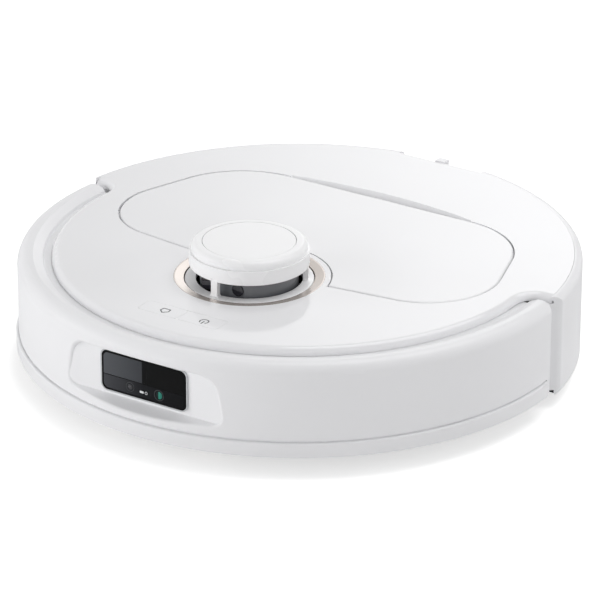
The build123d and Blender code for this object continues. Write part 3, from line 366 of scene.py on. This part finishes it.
# Nickel plate: warmer and smoother than zinc.
nickel = metal("nickel_plated_contact", "D6CFC2", "CBC3B4", 0.22, 0.5, 0.003, (6, 1, 1))
# Drawn steel cans: darker, with lines along the draw.
motor_steel = metal("steel_motor_case", "8C9095", "7D8186", 0.38, 0.8, 0.008, (8, 1, 1))
print("metals", [material.name for material in (champagne, steel, nickel, motor_steel)])

# %% [markdown]
# ## Window glass and lenses
# The sensor window is smoked and has an anti-reflection coat, so it mirrors less than bare plastic. A lamp's
# reflection is painted into the panes' colour: a colour ramp along the width makes them paler on the left and
# black to the right, with a hard step in the upper pane where the painted reflection ends.

# %% The recipe for a pane with a painted reflection
pane_roughness = 0.12
coated_mirror = 0.08


def painted_reflection_pane(name, stops, left_mm, right_mm):
    """A coated dark pane or lens with a painted reflection: its tint runs through the stops from left to
    right.
    """
    material = moulded(name, stops[0][1], stops[0][1], pane_roughness, polycarbonate_ior, 8.0, 0.001)
    tree = material.node_tree
    shader = tree.nodes["Principled BSDF"]
    place = add(tree, "ShaderNodeTexCoord").outputs["Object"]
    along = add(tree, "ShaderNodeSeparateXYZ", {"Vector": place})
    share = add(tree, "ShaderNodeMapRange", {"Value": along.outputs["X"], "From Min": left_mm * MM,
                                            "From Max": right_mm * MM})
    # The ramp paints a reflection into the base colour, across the width.
    ramp = add(tree, "ShaderNodeValToRGB", {"Fac": share.outputs[0]})
    while len(ramp.color_ramp.elements) < len(stops):
        ramp.color_ramp.elements.new(0.5)
    for element, (position, colour) in zip(ramp.color_ramp.elements, stops):
        element.position = position
        element.color = srgb(colour)
    tree.links.new(ramp.outputs["Color"], shader.inputs["Base Color"])
    shader.inputs["Specular IOR Level"].default_value = coated_mirror
    return material


print("a coated pane has a specular level of", coated_mirror)

# %% Panes, border and lenses
pane_span = (-29.2, 29.2)
# Upper pane: a painted reflection, grey on the left, with a hard step to black where it ends.
upper_reflection_stops = [(0.0, "55575B"), (0.478, "3E4044"), (0.482, "0C0D0E"), (1.0, "09090A")]
upper_reflection_glass = painted_reflection_pane("polycarbonate_upper_pane_painted_reflection", upper_reflection_stops, *pane_span)
# Lower pane: a painted reflection, dark grey on the left that fades to black.
lower_reflection_stops = [(0.0, "46474B"), (0.5, "1A1B1E"), (1.0, "0C0D0F")]
lower_reflection_glass = painted_reflection_pane("polycarbonate_lower_pane_painted_reflection", lower_reflection_stops, *pane_span)
# Printed border: a dead black round the panes, which draws their edges.
border_black = moulded("polycarbonate_printed_border", "060607", "090A0B", 0.20, polycarbonate_ior, 8.0,
                       0.002)
border_black.node_tree.nodes["Principled BSDF"].inputs["Specular IOR Level"].default_value = coated_mirror
# Coated glass: dark and cool, with a sharp highlight.
glass_ior, lens_coat = 1.62, 0.6
lens_glass = moulded("glass_lens_coated", "2C2830", "23262C", 0.04, glass_ior, 6.0, 0.0005)
lens_glass.node_tree.nodes["Principled BSDF"].inputs["Coat Weight"].default_value = lens_coat
# The eye of the right-hand camera: dark glass with a painted teal glint, on the right side only.
green_glint_span = (8.5, 13.3)
green_glint_stops = [(0.0, "14181A"), (0.42, "1A2A2A"), (0.52, "3C8F7E"), (1.0, "2F6F64")]
lens_painted_glint = painted_reflection_pane("glass_lens_painted_teal_glint", green_glint_stops, *green_glint_span)
# Lacquered barrel: the dark grey edge round each lens.
barrel_grey = moulded("abs_barrel_grey_lacquer", "2E3033", "292B2E", 0.35, abs_ior, 0.5, 0.003)
# Light guide: milky white acrylic.
acrylic_ior = 1.49
guide_white = moulded("acrylic_light_guide", "E4E6E8", "D6D8DA", 0.25, acrylic_ior, 1.0, 0.002)
print("window and lens materials made")

# %% [markdown]
# ## Finishes for the CAD pieces
# A table says which finish each group of pieces has. The pieces keep their meshes, and only the material in
# their slot changes.

# %% Dress the CAD pieces
finishes = {
    gloss_white: ["top_cover", "lid_panel", "home_button", "power_button"],
    satin_white: ["bumper_shell", "bumper_strip", "rear_shell", "dock_port"],
    turret_white_painted_bounce: ["turret_cage", "turret_cap", "turret_disc"],
    pale_grey: ["brush_guard", "window_bezel", "left_wheel_hub", "right_wheel_hub", "caster_wheel",
                "brush_shaft", "dust_box_lid", "filter_frame", "fan_impeller", "laser_pulley"],
    charcoal: ["chassis_base", "exhaust_grille", "laser_base", "bumper_switches", "wheel_housings",
               "caster_socket", "caster_fork", "brush_tunnel", "battery_door", "speaker", "sensor_module"],
    smoke_black: ["cliff_sensor_windows"],
    rotor_painted_light_grey: ["laser_rotor"],
    border_black: ["sensor_window"],
    tyre_rubber: ["left_wheel_tyre", "right_wheel_tyre"],
    brush_rubber: ["brush_blades", "side_brush_hub"],
    belt_rubber: ["laser_belt"],
    nylon: ["side_brush_bristles"],
    filter_paper: ["filter_pleats"],
    cell_film: ["battery_pack"],
    solder_mask: ["main_board", "key_board"],
    smoked_box: ["dust_box"],
    champagne: ["turret_trim_ring"],
    steel: ["base_screws", "hinge_pins", "pivot_pins", "bumper_springs", "caster_axle"],
    nickel: ["charge_contacts"],
    motor_steel: ["left_drive_arm", "right_drive_arm", "brush_gear_motor", "side_brush_motor", "fan_unit"],
    lens_glass: ["laser_lenses"],
}
for material, names in finishes.items():
    for name in names:
        for material_slot in nodes[name].material_slots:
            material_slot.material = material
dressed = {name for names in finishes.values() for name in names}
print("dressed", len(dressed), "bare", sorted(set(nodes) - dressed))

# %% [markdown]
# ## Tools for small pieces
# Springs, screws, fibres and printed marks are all skins over a row of closed rings. One function lays the
# skin, and one makes the finished piece ride on its body. Working with rings keeps every edge where it is
# wanted, which a stretched primitive would not.

# %% Rings and pieces
def loft(rings, ends=True):
    """A skin over closed rings that all have the same number of points."""
    count = len(rings[0])
    points = [point for ring in rings for point in ring]
    faces = []
    for low in range(0, len(points) - count, count):
        for i in range(count):
            j = (i + 1) % count
            faces.append((low + i, low + j, low + count + j, low + count + i))
    if ends:
        faces += [tuple(range(count - 1, -1, -1)), tuple(range(len(points) - count, len(points)))]
    return points, faces


weld_m = 1e-7
sharp_degrees = 35


def piece(name, skins, material, body):
    """One mesh from several skins in millimetres, riding on a body."""
    points, faces = [], []
    for skin_points, skin_faces in skins:
        faces += [tuple(len(points) + i for i in face) for face in skin_faces]
        points += [Vector(point) * MM for point in skin_points]
    mesh = bpy.data.meshes.new(name)
    mesh.from_pydata(points, [], faces)
    work = bmesh.new()
    work.from_mesh(mesh)
    bmesh.ops.remove_doubles(work, verts=work.verts, dist=weld_m)
    bmesh.ops.recalc_face_normals(work, faces=work.faces)
    work.to_mesh(mesh)
    work.free()
    mesh.shade_smooth()
    mesh.set_sharp_from_angle(angle=math.radians(sharp_degrees))
    mesh.materials.append(material)
    made = bpy.data.objects.new(name, mesh)
    scene.collection.objects.link(made)
    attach(made, body)
    print("made", name, "with", len(mesh.polygons), "faces on", body)
    return made


print("edges turn sharp over", sharp_degrees, "degrees")

# %% [markdown]
# ## Outlines
# Panes, marks and seals start as flat outlines: polygons whose corners are rounded with arcs. A bevel
# modifier gives all corners one radius, and here each corner has its own. A place function then lays every
# point on its surface, so the same tools serve the upright window and the level keys.

# %% Outlines and plates
def arc(centre, radius, start, sweep, steps=8):
    """Points along an arc, with its angles in degrees."""
    turns = [math.radians(start + sweep * k / steps) for k in range(steps + 1)]
    return [Vector((centre[0] + radius * math.cos(a), centre[1] + radius * math.sin(a))) for a in turns]


def box_corners(left, right, bottom, top):
    """The corners of an upright box, counter-clockwise."""
    return [(left, bottom), (right, bottom), (right, top), (left, top)]


def rounded(corners, radii):
    """Points round a polygon, counter-clockwise, whose corners are rounded to these radii."""
    ring = []
    for i, corner in enumerate(corners):
        corner = Vector(corner)
        before = (Vector(corners[i - 1]) - corner).normalized()
        after = (Vector(corners[(i + 1) % len(corners)]) - corner).normalized()
        half = before.angle(after) / 2
        centre = corner + (before + after).normalized() * radii[i] / math.sin(half)
        start = math.degrees(math.atan2(before.x, -before.y))
        ring += arc(centre, radii[i], start, 180 - 2 * math.degrees(half))
    return ring


def inset(ring, distance):
    """A ring moved inwards, for outlines that run counter-clockwise."""
    moved = []
    for i, point in enumerate(ring):
        along = (ring[(i + 1) % len(ring)] - ring[i - 1]).normalized()
        moved.append(point + Vector((-along.y, along.x)) * distance)
    return moved


def plate(ring, top, bevel, place):
    """A thin plate on a surface, with a bevelled edge."""
    levels = [(ring, 0.0), (ring, top - bevel), (inset(ring, bevel), top)]
    return loft([[place(point, height) for point in line] for line, height in levels])


print("a rounded square has", len(rounded(box_corners(0, 1, 0, 1), [0.2] * 4)), "points")

# %% [markdown]
# ## Panes and lenses of the sensor window
# The window is a black frame with two thin panes on it, one above the other, and three marks in the lower
# one: a small lens, a status light and a larger lens. They could be painted on, but a real edge catches the
# light as the photographed one does, so each is a thin raised plate that stands on the CAD window.

# %% Two panes
def in_mm(box):
    """A box of the frame in millimetres."""
    return [[value / MM for value in corner] for corner in box]


window_low, window_high = in_mm(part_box("sensor_window"))
window_front = window_low[1]
pane_border = 1.3
pane_split = 43.7
pane_gap = 0.5
pane_thick = 0.12
pane_bevel = 0.05
pane_corner, split_corner = 3.2, 0.3
pane_left, pane_right = window_low[0] + pane_border, window_high[0] - pane_border
pane_bottom, pane_top = window_low[2] + pane_border, window_high[2] - pane_border


def on_window(point, height):
    """A point of the window's front, raised towards the viewer."""
    return Vector((point[0], window_front - height, point[1]))


upper = rounded(box_corners(pane_left, pane_right, pane_split + pane_gap / 2, pane_top),
                [split_corner, split_corner, pane_corner, pane_corner])
lower = rounded(box_corners(pane_left, pane_right, pane_bottom, pane_split - pane_gap / 2),
                [pane_corner, pane_corner, split_corner, split_corner])
piece("upper_pane", [plate(upper, pane_thick, pane_bevel, on_window)], upper_reflection_glass, "bumper")
piece("lower_pane", [plate(lower, pane_thick, pane_bevel, on_window)], lower_reflection_glass, "bumper")

# %% [markdown]
# ## Lenses
# Each lens is a shallow glass bead inside a dark rim. A flattened sphere would meet the pane at a steep edge
# with bunched faces, so the bead is a skin over a few circles that shrink as they rise.

# %% Two lenses and their rims
mark_thick = 0.10
left_lens, right_lens = (-9.9, 39.5), (10.9, 39.3)
small_radius, small_dome = 1.2, 0.25
large_radius, large_dome = 2.4, 0.35
bead_angles = (0.0, 0.4, 0.8, 1.2, 1.5)


def circle(radius, at=(0.0, 0.0), count=48):
    """Points round a circle."""
    turns = [2 * math.pi * k / count for k in range(count)]
    return [Vector((at[0] + radius * math.cos(a), at[1] + radius * math.sin(a))) for a in turns]


def band(ring, width, top, place):
    """A raised line that follows an outline."""
    inner = inset(ring, width)
    levels = [(ring, 0.0), (ring, top), (inner, top), (inner, 0.0), (ring, 0.0)]
    return loft([[place(point, height) for point in line] for line, height in levels], ends=False)


def on_pane(point, height):
    """A point of the lower pane's front, raised towards the viewer."""
    return on_window(point, pane_thick + height)


def bead(radius, at, dome):
    """A shallow round lens."""
    levels = [(radius * math.cos(a), dome * math.sin(a)) for a in bead_angles]
    return loft([[on_pane(point, height) for point in circle(r, at)] for r, height in levels])


# Where each rim is, its radius and its width.
rims = [(left_lens, 3.0, 0.35), (left_lens, 1.7, 0.3), (right_lens, 3.5, 0.4)]
lens_rims = [band(circle(radius, at), width, mark_thick, on_pane) for at, radius, width in rims]
piece("lens_rims", lens_rims, barrel_grey, "bumper")
piece("small_lens", [bead(small_radius, left_lens, small_dome)], lens_glass, "bumper")
piece("large_lens", [bead(large_radius, right_lens, large_dome)], lens_painted_glint, "bumper")

# %% [markdown]
# ## Status light
# Between the lenses is a small black plate, rounded at its right end, with a bar and a ring in milky acrylic.
# A glowing picture would do from the front only. As thin raised pieces they catch the light from any side.

# %% Status light
light_low, light_mid, light_high = 37.2, 38.3, 39.4
light_half, light_bevel = 3.35, 0.03
frame_thick, frame_end, frame_corner = 0.06, 1.05, 0.3
light_frame = rounded(box_corners(-light_half, light_half, light_low, light_high),
                      [frame_corner, frame_end, frame_end, frame_corner])
bar_left, bar_right, bar_half, bar_corner = -2.9, -0.1, 0.7, 0.2
light_bar = rounded(box_corners(bar_left, bar_right, light_mid - bar_half, light_mid + bar_half),
                    [bar_corner] * 4)
ring_x, ring_radius, ring_wide = 1.7, 0.95, 0.3
light_ring = circle(ring_radius, (ring_x, light_mid))
piece("status_light_frame", [plate(light_frame, frame_thick, light_bevel, on_pane)], border_black, "bumper")
piece("status_light", [plate(light_bar, mark_thick, light_bevel, on_pane),
                       band(light_ring, ring_wide, mark_thick, on_pane)],
      guide_white, "bumper")

# %% [markdown]
# ## Printed marks on the keys
# The two keys carry a house outline and a power sign in thin grey print. A texture would need an image, so
# each line is a flat raised band about as thick as a heavy print. The marks face whoever stands in front.

# %% House and power signs
line_wide = 0.8
print_thick = 0.04
mark_shift = (2.0, -0.8)


def on_key(name):
    """Maps flat points, with up towards the front, on to the top of a key."""
    low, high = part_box(name)
    x = (low[0] + high[0]) / 2 / MM + mark_shift[0]
    y = (low[1] + high[1]) / 2 / MM + mark_shift[1]
    return lambda point, height: Vector((x - point[0], y - point[1], high[2] / MM + height))


house_corner = 0.5
house = rounded([(-2.7, -3.0), (2.7, -3.0), (3.3, 0.5), (0.0, 3.6), (-3.3, 0.5)], [house_corner] * 5)
home_mark = band(house, line_wide, print_thick, on_key("home_button"))
piece("home_print", [home_mark], print_ink, "home_key")
sign_radius = 3.1
sign_open = 38.0
sign_sweep = 360 - 2 * sign_open
sign_steps = 40
sign = arc((0, 0), sign_radius, 90 + sign_open, sign_sweep, sign_steps)
sign += arc((0, 0), sign_radius - line_wide, 90 - sign_open, -sign_sweep, sign_steps)
stem_low, stem_high = -0.2, 3.6
stem = box_corners(-line_wide / 2, line_wide / 2, stem_low, stem_high)
power_place = on_key("power_button")
marks = [loft([[power_place(point, height) for point in ring] for height in (0.0, print_thick)])
         for ring in (sign, stem)]
piece("power_print", marks, print_ink, "power_key")

# %% [markdown]
# ## Seals in the seams
# A soft white seal closes the seam round the keys, just below the surface, and another hangs under the deck's
# rim, where the bumper's lip slides. They keep dust out, and they are why these seams look pale and not
# black. Pale paint in the gap would look right from one side only, so they are real strips. Each follows the
# CAD outline beside it with a small gap, so nothing rubs.

# %% Key seal
home_low, home_high = in_mm(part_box("home_button"))
power_low, power_high = in_mm(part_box("power_button"))
key_gap, key_corner = 0.2, 2.0
seal_gap, seal_sunk, seal_tall = 0.02, 0.22, 0.5
seal_foot = home_high[2] - seal_sunk - seal_tall
keys_middle = ((home_low[0] + power_high[0]) / 2, (home_low[1] + home_high[1]) / 2)
keys_half = ((power_high[0] - home_low[0]) / 2, (home_high[1] - home_low[1]) / 2)


def in_key_seam(point, height):
    """A point in the seam round the keys, raised from the seal's foot."""
    return Vector((keys_middle[0] + point[0], keys_middle[1] + point[1], seal_foot + height))


seal_reach = key_gap - seal_gap
seal_x, seal_y = keys_half[0] + seal_reach, keys_half[1] + seal_reach
seal_outer = rounded(box_corners(-seal_x, seal_x, -seal_y, seal_y), [key_corner + seal_reach] * 4)
corner_x, corner_y = (power_low[0] - home_high[0]) / 2 + key_corner, keys_half[1] - key_corner
corner_reach = key_corner + seal_gap
bridge_corners = [((corner_x, -corner_y), 270), ((corner_x, corner_y), 180),
                  ((-corner_x, corner_y), 90), ((-corner_x, -corner_y), 0)]
bridge = [point for centre, start in bridge_corners for point in arc(centre, corner_reach, start, -90)]
bridge_skin = loft([[in_key_seam(point, height) for point in bridge] for height in (0.0, seal_tall)])
seal_ring = band(seal_outer, key_gap - 2 * seal_gap, seal_tall, in_key_seam)
piece("key_seal", [seal_ring, bridge_skin], white_silicone, "body")

# %% [markdown]
# ## Seal under the rim
# The rim's seal is a flat strip glued under the deck's edge, along the front half only, where the bumper is.
# A bevelled curve would round its corners off, so a box profile is swept through the angle.

# %% Rim seal
def swept(profile, axis_y, start, sweep, steps):
    """A strip with this profile of radius and height, round an upright axis, with its angles in degrees."""
    turns = [math.radians(start + sweep * k / steps) for k in range(steps + 1)]
    return loft([[Vector((r * math.cos(a), axis_y + r * math.sin(a), z)) for r, z in profile] for a in turns])


rim_inner, rim_outer = 149.3, 151.9
rim_low, rim_high = 68.62, 68.98
rim_start, rim_sweep, rim_steps = 181, 178, 120
rim_skin = swept(box_corners(rim_inner, rim_outer, rim_low, rim_high), 0.0, rim_start, rim_sweep, rim_steps)
piece("rim_seal", [rim_skin], white_silicone, "body")

# %% [markdown]
# ## Lower edge of the turret's band
# The band under the turret's cap ends in a soft edge that hangs into the slot. A full ring would cut through
# the pillars, so one rounded profile is swept in three lengths, from pillar to pillar. It leaves the spinning
# head room inside.

# %% Turret band edge
turret_at = -54.0
edge_inner, edge_outer, edge_round = 33.6, 36.7, 0.7
edge_low, edge_high = 82.2, 84.0
edge_profile = [(edge_inner, edge_high), (edge_inner, edge_low)]
edge_profile += arc((edge_outer - edge_round, edge_low + edge_round), edge_round, 270, 90)
edge_profile.append((edge_outer, edge_high))
pillar_turns = (-92.0, 28.0, 148.0)
pillar_half_turn = 3.4
edge_sweep, edge_steps = 120 - 2 * pillar_half_turn, 60
edges = [swept(edge_profile, turret_at, turn + pillar_half_turn, edge_sweep, edge_steps)
         for turn in pillar_turns]
piece("turret_band_edge", edges, turret_white_painted_bounce, "turret")

# %% [markdown]
# ## Bumper springs
# Two coil springs push the bumper out. CAD keeps each as a plain sleeve, and here it becomes a wound wire. A
# screw modifier winds at one pitch only, and real end turns are closed, so the wire follows a path that is
# worked out turn by turn.

# %% Rings along a path
def tube(path, radii, sides):
    """A round tube along a path, carried along without twist."""
    rings, side = [], None
    for i, point in enumerate(path):
        ahead = (path[min(i + 1, len(path) - 1)] - path[max(i - 1, 0)]).normalized()
        side = ahead.orthogonal() if side is None else side - ahead * side.dot(ahead)
        side.normalize()
        up = ahead.cross(side)
        turns = [2 * math.pi * k / sides for k in range(sides)]
        rings.append([point + radii[i] * (math.cos(a) * side + math.sin(a) * up) for a in turns])
    return loft(rings)


print("a straight six-sided tube has", len(tube([Vector(), Vector((0, 0, 1))], [1.0, 1.0], 6)[1]), "faces")

# %% Wind the springs
springs_low, springs_high = in_mm(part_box("bumper_springs"))
wire = 1.1
coil_outer = (springs_high[2] - springs_low[2]) / 2
coil_x = springs_high[0] - coil_outer
coil_z = (springs_low[2] + springs_high[2]) / 2
coil_start, coil_end = springs_low[1] + wire / 2, springs_high[1] - wire / 2
coil_turns = 5.5
closed_turns, closed_pitch = 0.8, 0.6 * wire
steps_a_turn = 28
wire_sides = 10


def coil(x):
    """A wound spring along Y with closed end turns."""
    path = []
    total = int(coil_turns * steps_a_turn)
    for k in range(total + 1):
        turn = k / steps_a_turn
        share = (turn - closed_turns) / (coil_turns - 2 * closed_turns)
        closed = closed_turns * closed_pitch
        along = coil_start + closed + (coil_end - coil_start - 2 * closed) * share
        if turn < closed_turns:
            along = coil_start + turn * closed_pitch
        if turn > coil_turns - closed_turns:
            along = coil_end - (coil_turns - turn) * closed_pitch
        angle = 2 * math.pi * turn
        radius = coil_outer - wire / 2
        path.append(Vector((x + radius * math.cos(angle), along, coil_z + radius * math.sin(angle))))
    return tube(path, [wire / 2] * len(path), wire_sides)


spring_coils = piece("bumper_spring_coils", [coil(coil_x), coil(-coil_x)], steel, "body")
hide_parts("bumper_springs")
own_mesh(spring_coils)

# %% [markdown]
# ## Base screws
# Eight pan-head screws hold the base. Each is one skin: a shank, a head with a rounded edge, and a cross
# recess pressed into it. A boolean could cut the recess, but leaves ragged faces. Here it is an outline with
# as many points as the circle round it, so the skin runs straight from one to the other.

# %% Cut the screws
screws_low, screws_high = in_mm(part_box("base_screws"))
screw_spots = [(60, 112), (-60, 112), (0, 150), (136, 66), (-136, 66), (56, -128), (-56, -128), (130, -74)]
head_radius, shank_radius, head_tall = 3.2, 1.4, 1.6
# The head's rounded edge, as steps inwards and their heights.
head_edge = [(0.0, 0.6), (0.25, 0.2), (0.8, 0.0)]
cross_reach, cross_half, cross_deep, cross_taper = 1.9, 0.42, 0.9, 0.75
cross_steps = 3


def cross_outline():
    """A plus sign with 48 points that start where a circle's do."""
    quarter = [(cross_reach, 0.0), (cross_reach, cross_half), (cross_half, cross_half),
               (cross_half, cross_reach)]
    ring = []
    for turn in range(4):
        corners = [Matrix.Rotation(turn * math.pi / 2, 2) @ Vector(p) for p in quarter]
        corners.append(Matrix.Rotation((turn + 1) * math.pi / 2, 2) @ Vector(quarter[0]))
        for a, b in zip(corners, corners[1:]):
            ring += [a.lerp(b, k / cross_steps) for k in range(cross_steps)]
    return ring


def screw(spot):
    """A pan-head screw with its head down."""
    low, top = screws_low[2], screws_high[2]
    cross = cross_outline()
    levels = [(circle(shank_radius), top), (circle(shank_radius), low + head_tall),
              (circle(head_radius), low + head_tall)]
    levels += [(circle(head_radius - step), low + rise) for step, rise in head_edge]
    levels += [(cross, low), ([p * cross_taper for p in cross], low + cross_deep)]
    return loft([[Vector((spot[0] + p.x, spot[1] + p.y, z)) for p in ring] for ring, z in levels])


screws = piece("cross_head_screws", [screw(spot) for spot in screw_spots], steel, "body")
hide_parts("base_screws")

# %% [markdown]
# ## Side brush fibres
# The side brush ends in three tufts. Hair particles could draw them, but wouldn't export as a mesh, so each
# fibre is a thin tapering tube that leaves the stalk in a bundle and fans out to the tip. Real fibres are
# about 0.2 mm thick. These are drawn twice as thick, so that they show, and a fixed seed gives the same tuft
# each time.

# %% Bind the tufts
brush_low, brush_high = in_mm(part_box("side_brush_bristles"))
brush_at = Vector((-92.0, -92.0, 0.0))
brush_turn = -127.0
tuft_root, tuft_tip = 32.5, 51.6
root_half, tip_half = 2.0, 6.4
fan_power = 1.3
shortest_share = 0.86
bow_reach = 0.5
# Room that the fibres leave below and above, at the root and at the tip.
root_room, tip_room = (0.3, 0.25), (0.25, 0.5)
fibre_radius, fibre_taper = 0.2, 0.45
fibre_steps, fibre_sides = 5, 5
fibres_a_tuft = 46
tuft_turns = (-60, 60, 180)
draw = random.Random(11)


def fibre(turn):
    """One fibre of the tuft that points this way."""
    forward = Vector((math.cos(turn), math.sin(turn), 0.0))
    sideways = Vector((-forward.y, forward.x, 0.0))
    spread = draw.uniform(-1, 1)
    tip = draw.uniform(shortest_share, 1.0) * (tuft_tip - tuft_root)
    root_z = draw.uniform(brush_low[2] + root_room[0], brush_high[2] - root_room[1])
    tip_z = draw.uniform(brush_low[2] + tip_room[0], brush_high[2] - tip_room[1])
    bow = draw.uniform(-bow_reach, bow_reach)
    shares = [k / fibre_steps for k in range(fibre_steps + 1)]
    path = []
    for t in shares:
        aside = spread * (root_half + (tip_half - root_half) * t ** fan_power) + bow * math.sin(math.pi * t)
        path.append(brush_at + forward * (tuft_root + tip * t) + sideways * aside
                    + Vector((0, 0, root_z + (tip_z - root_z) * t)))
    return tube(path, [fibre_radius * (1 - fibre_taper * t) for t in shares], fibre_sides)


tufts = [fibre(math.radians(brush_turn + turn)) for turn in tuft_turns for _ in range(fibres_a_tuft)]
bristles = piece("side_brush_fibres", tufts, nylon, "side_brush")
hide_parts("side_brush_bristles")
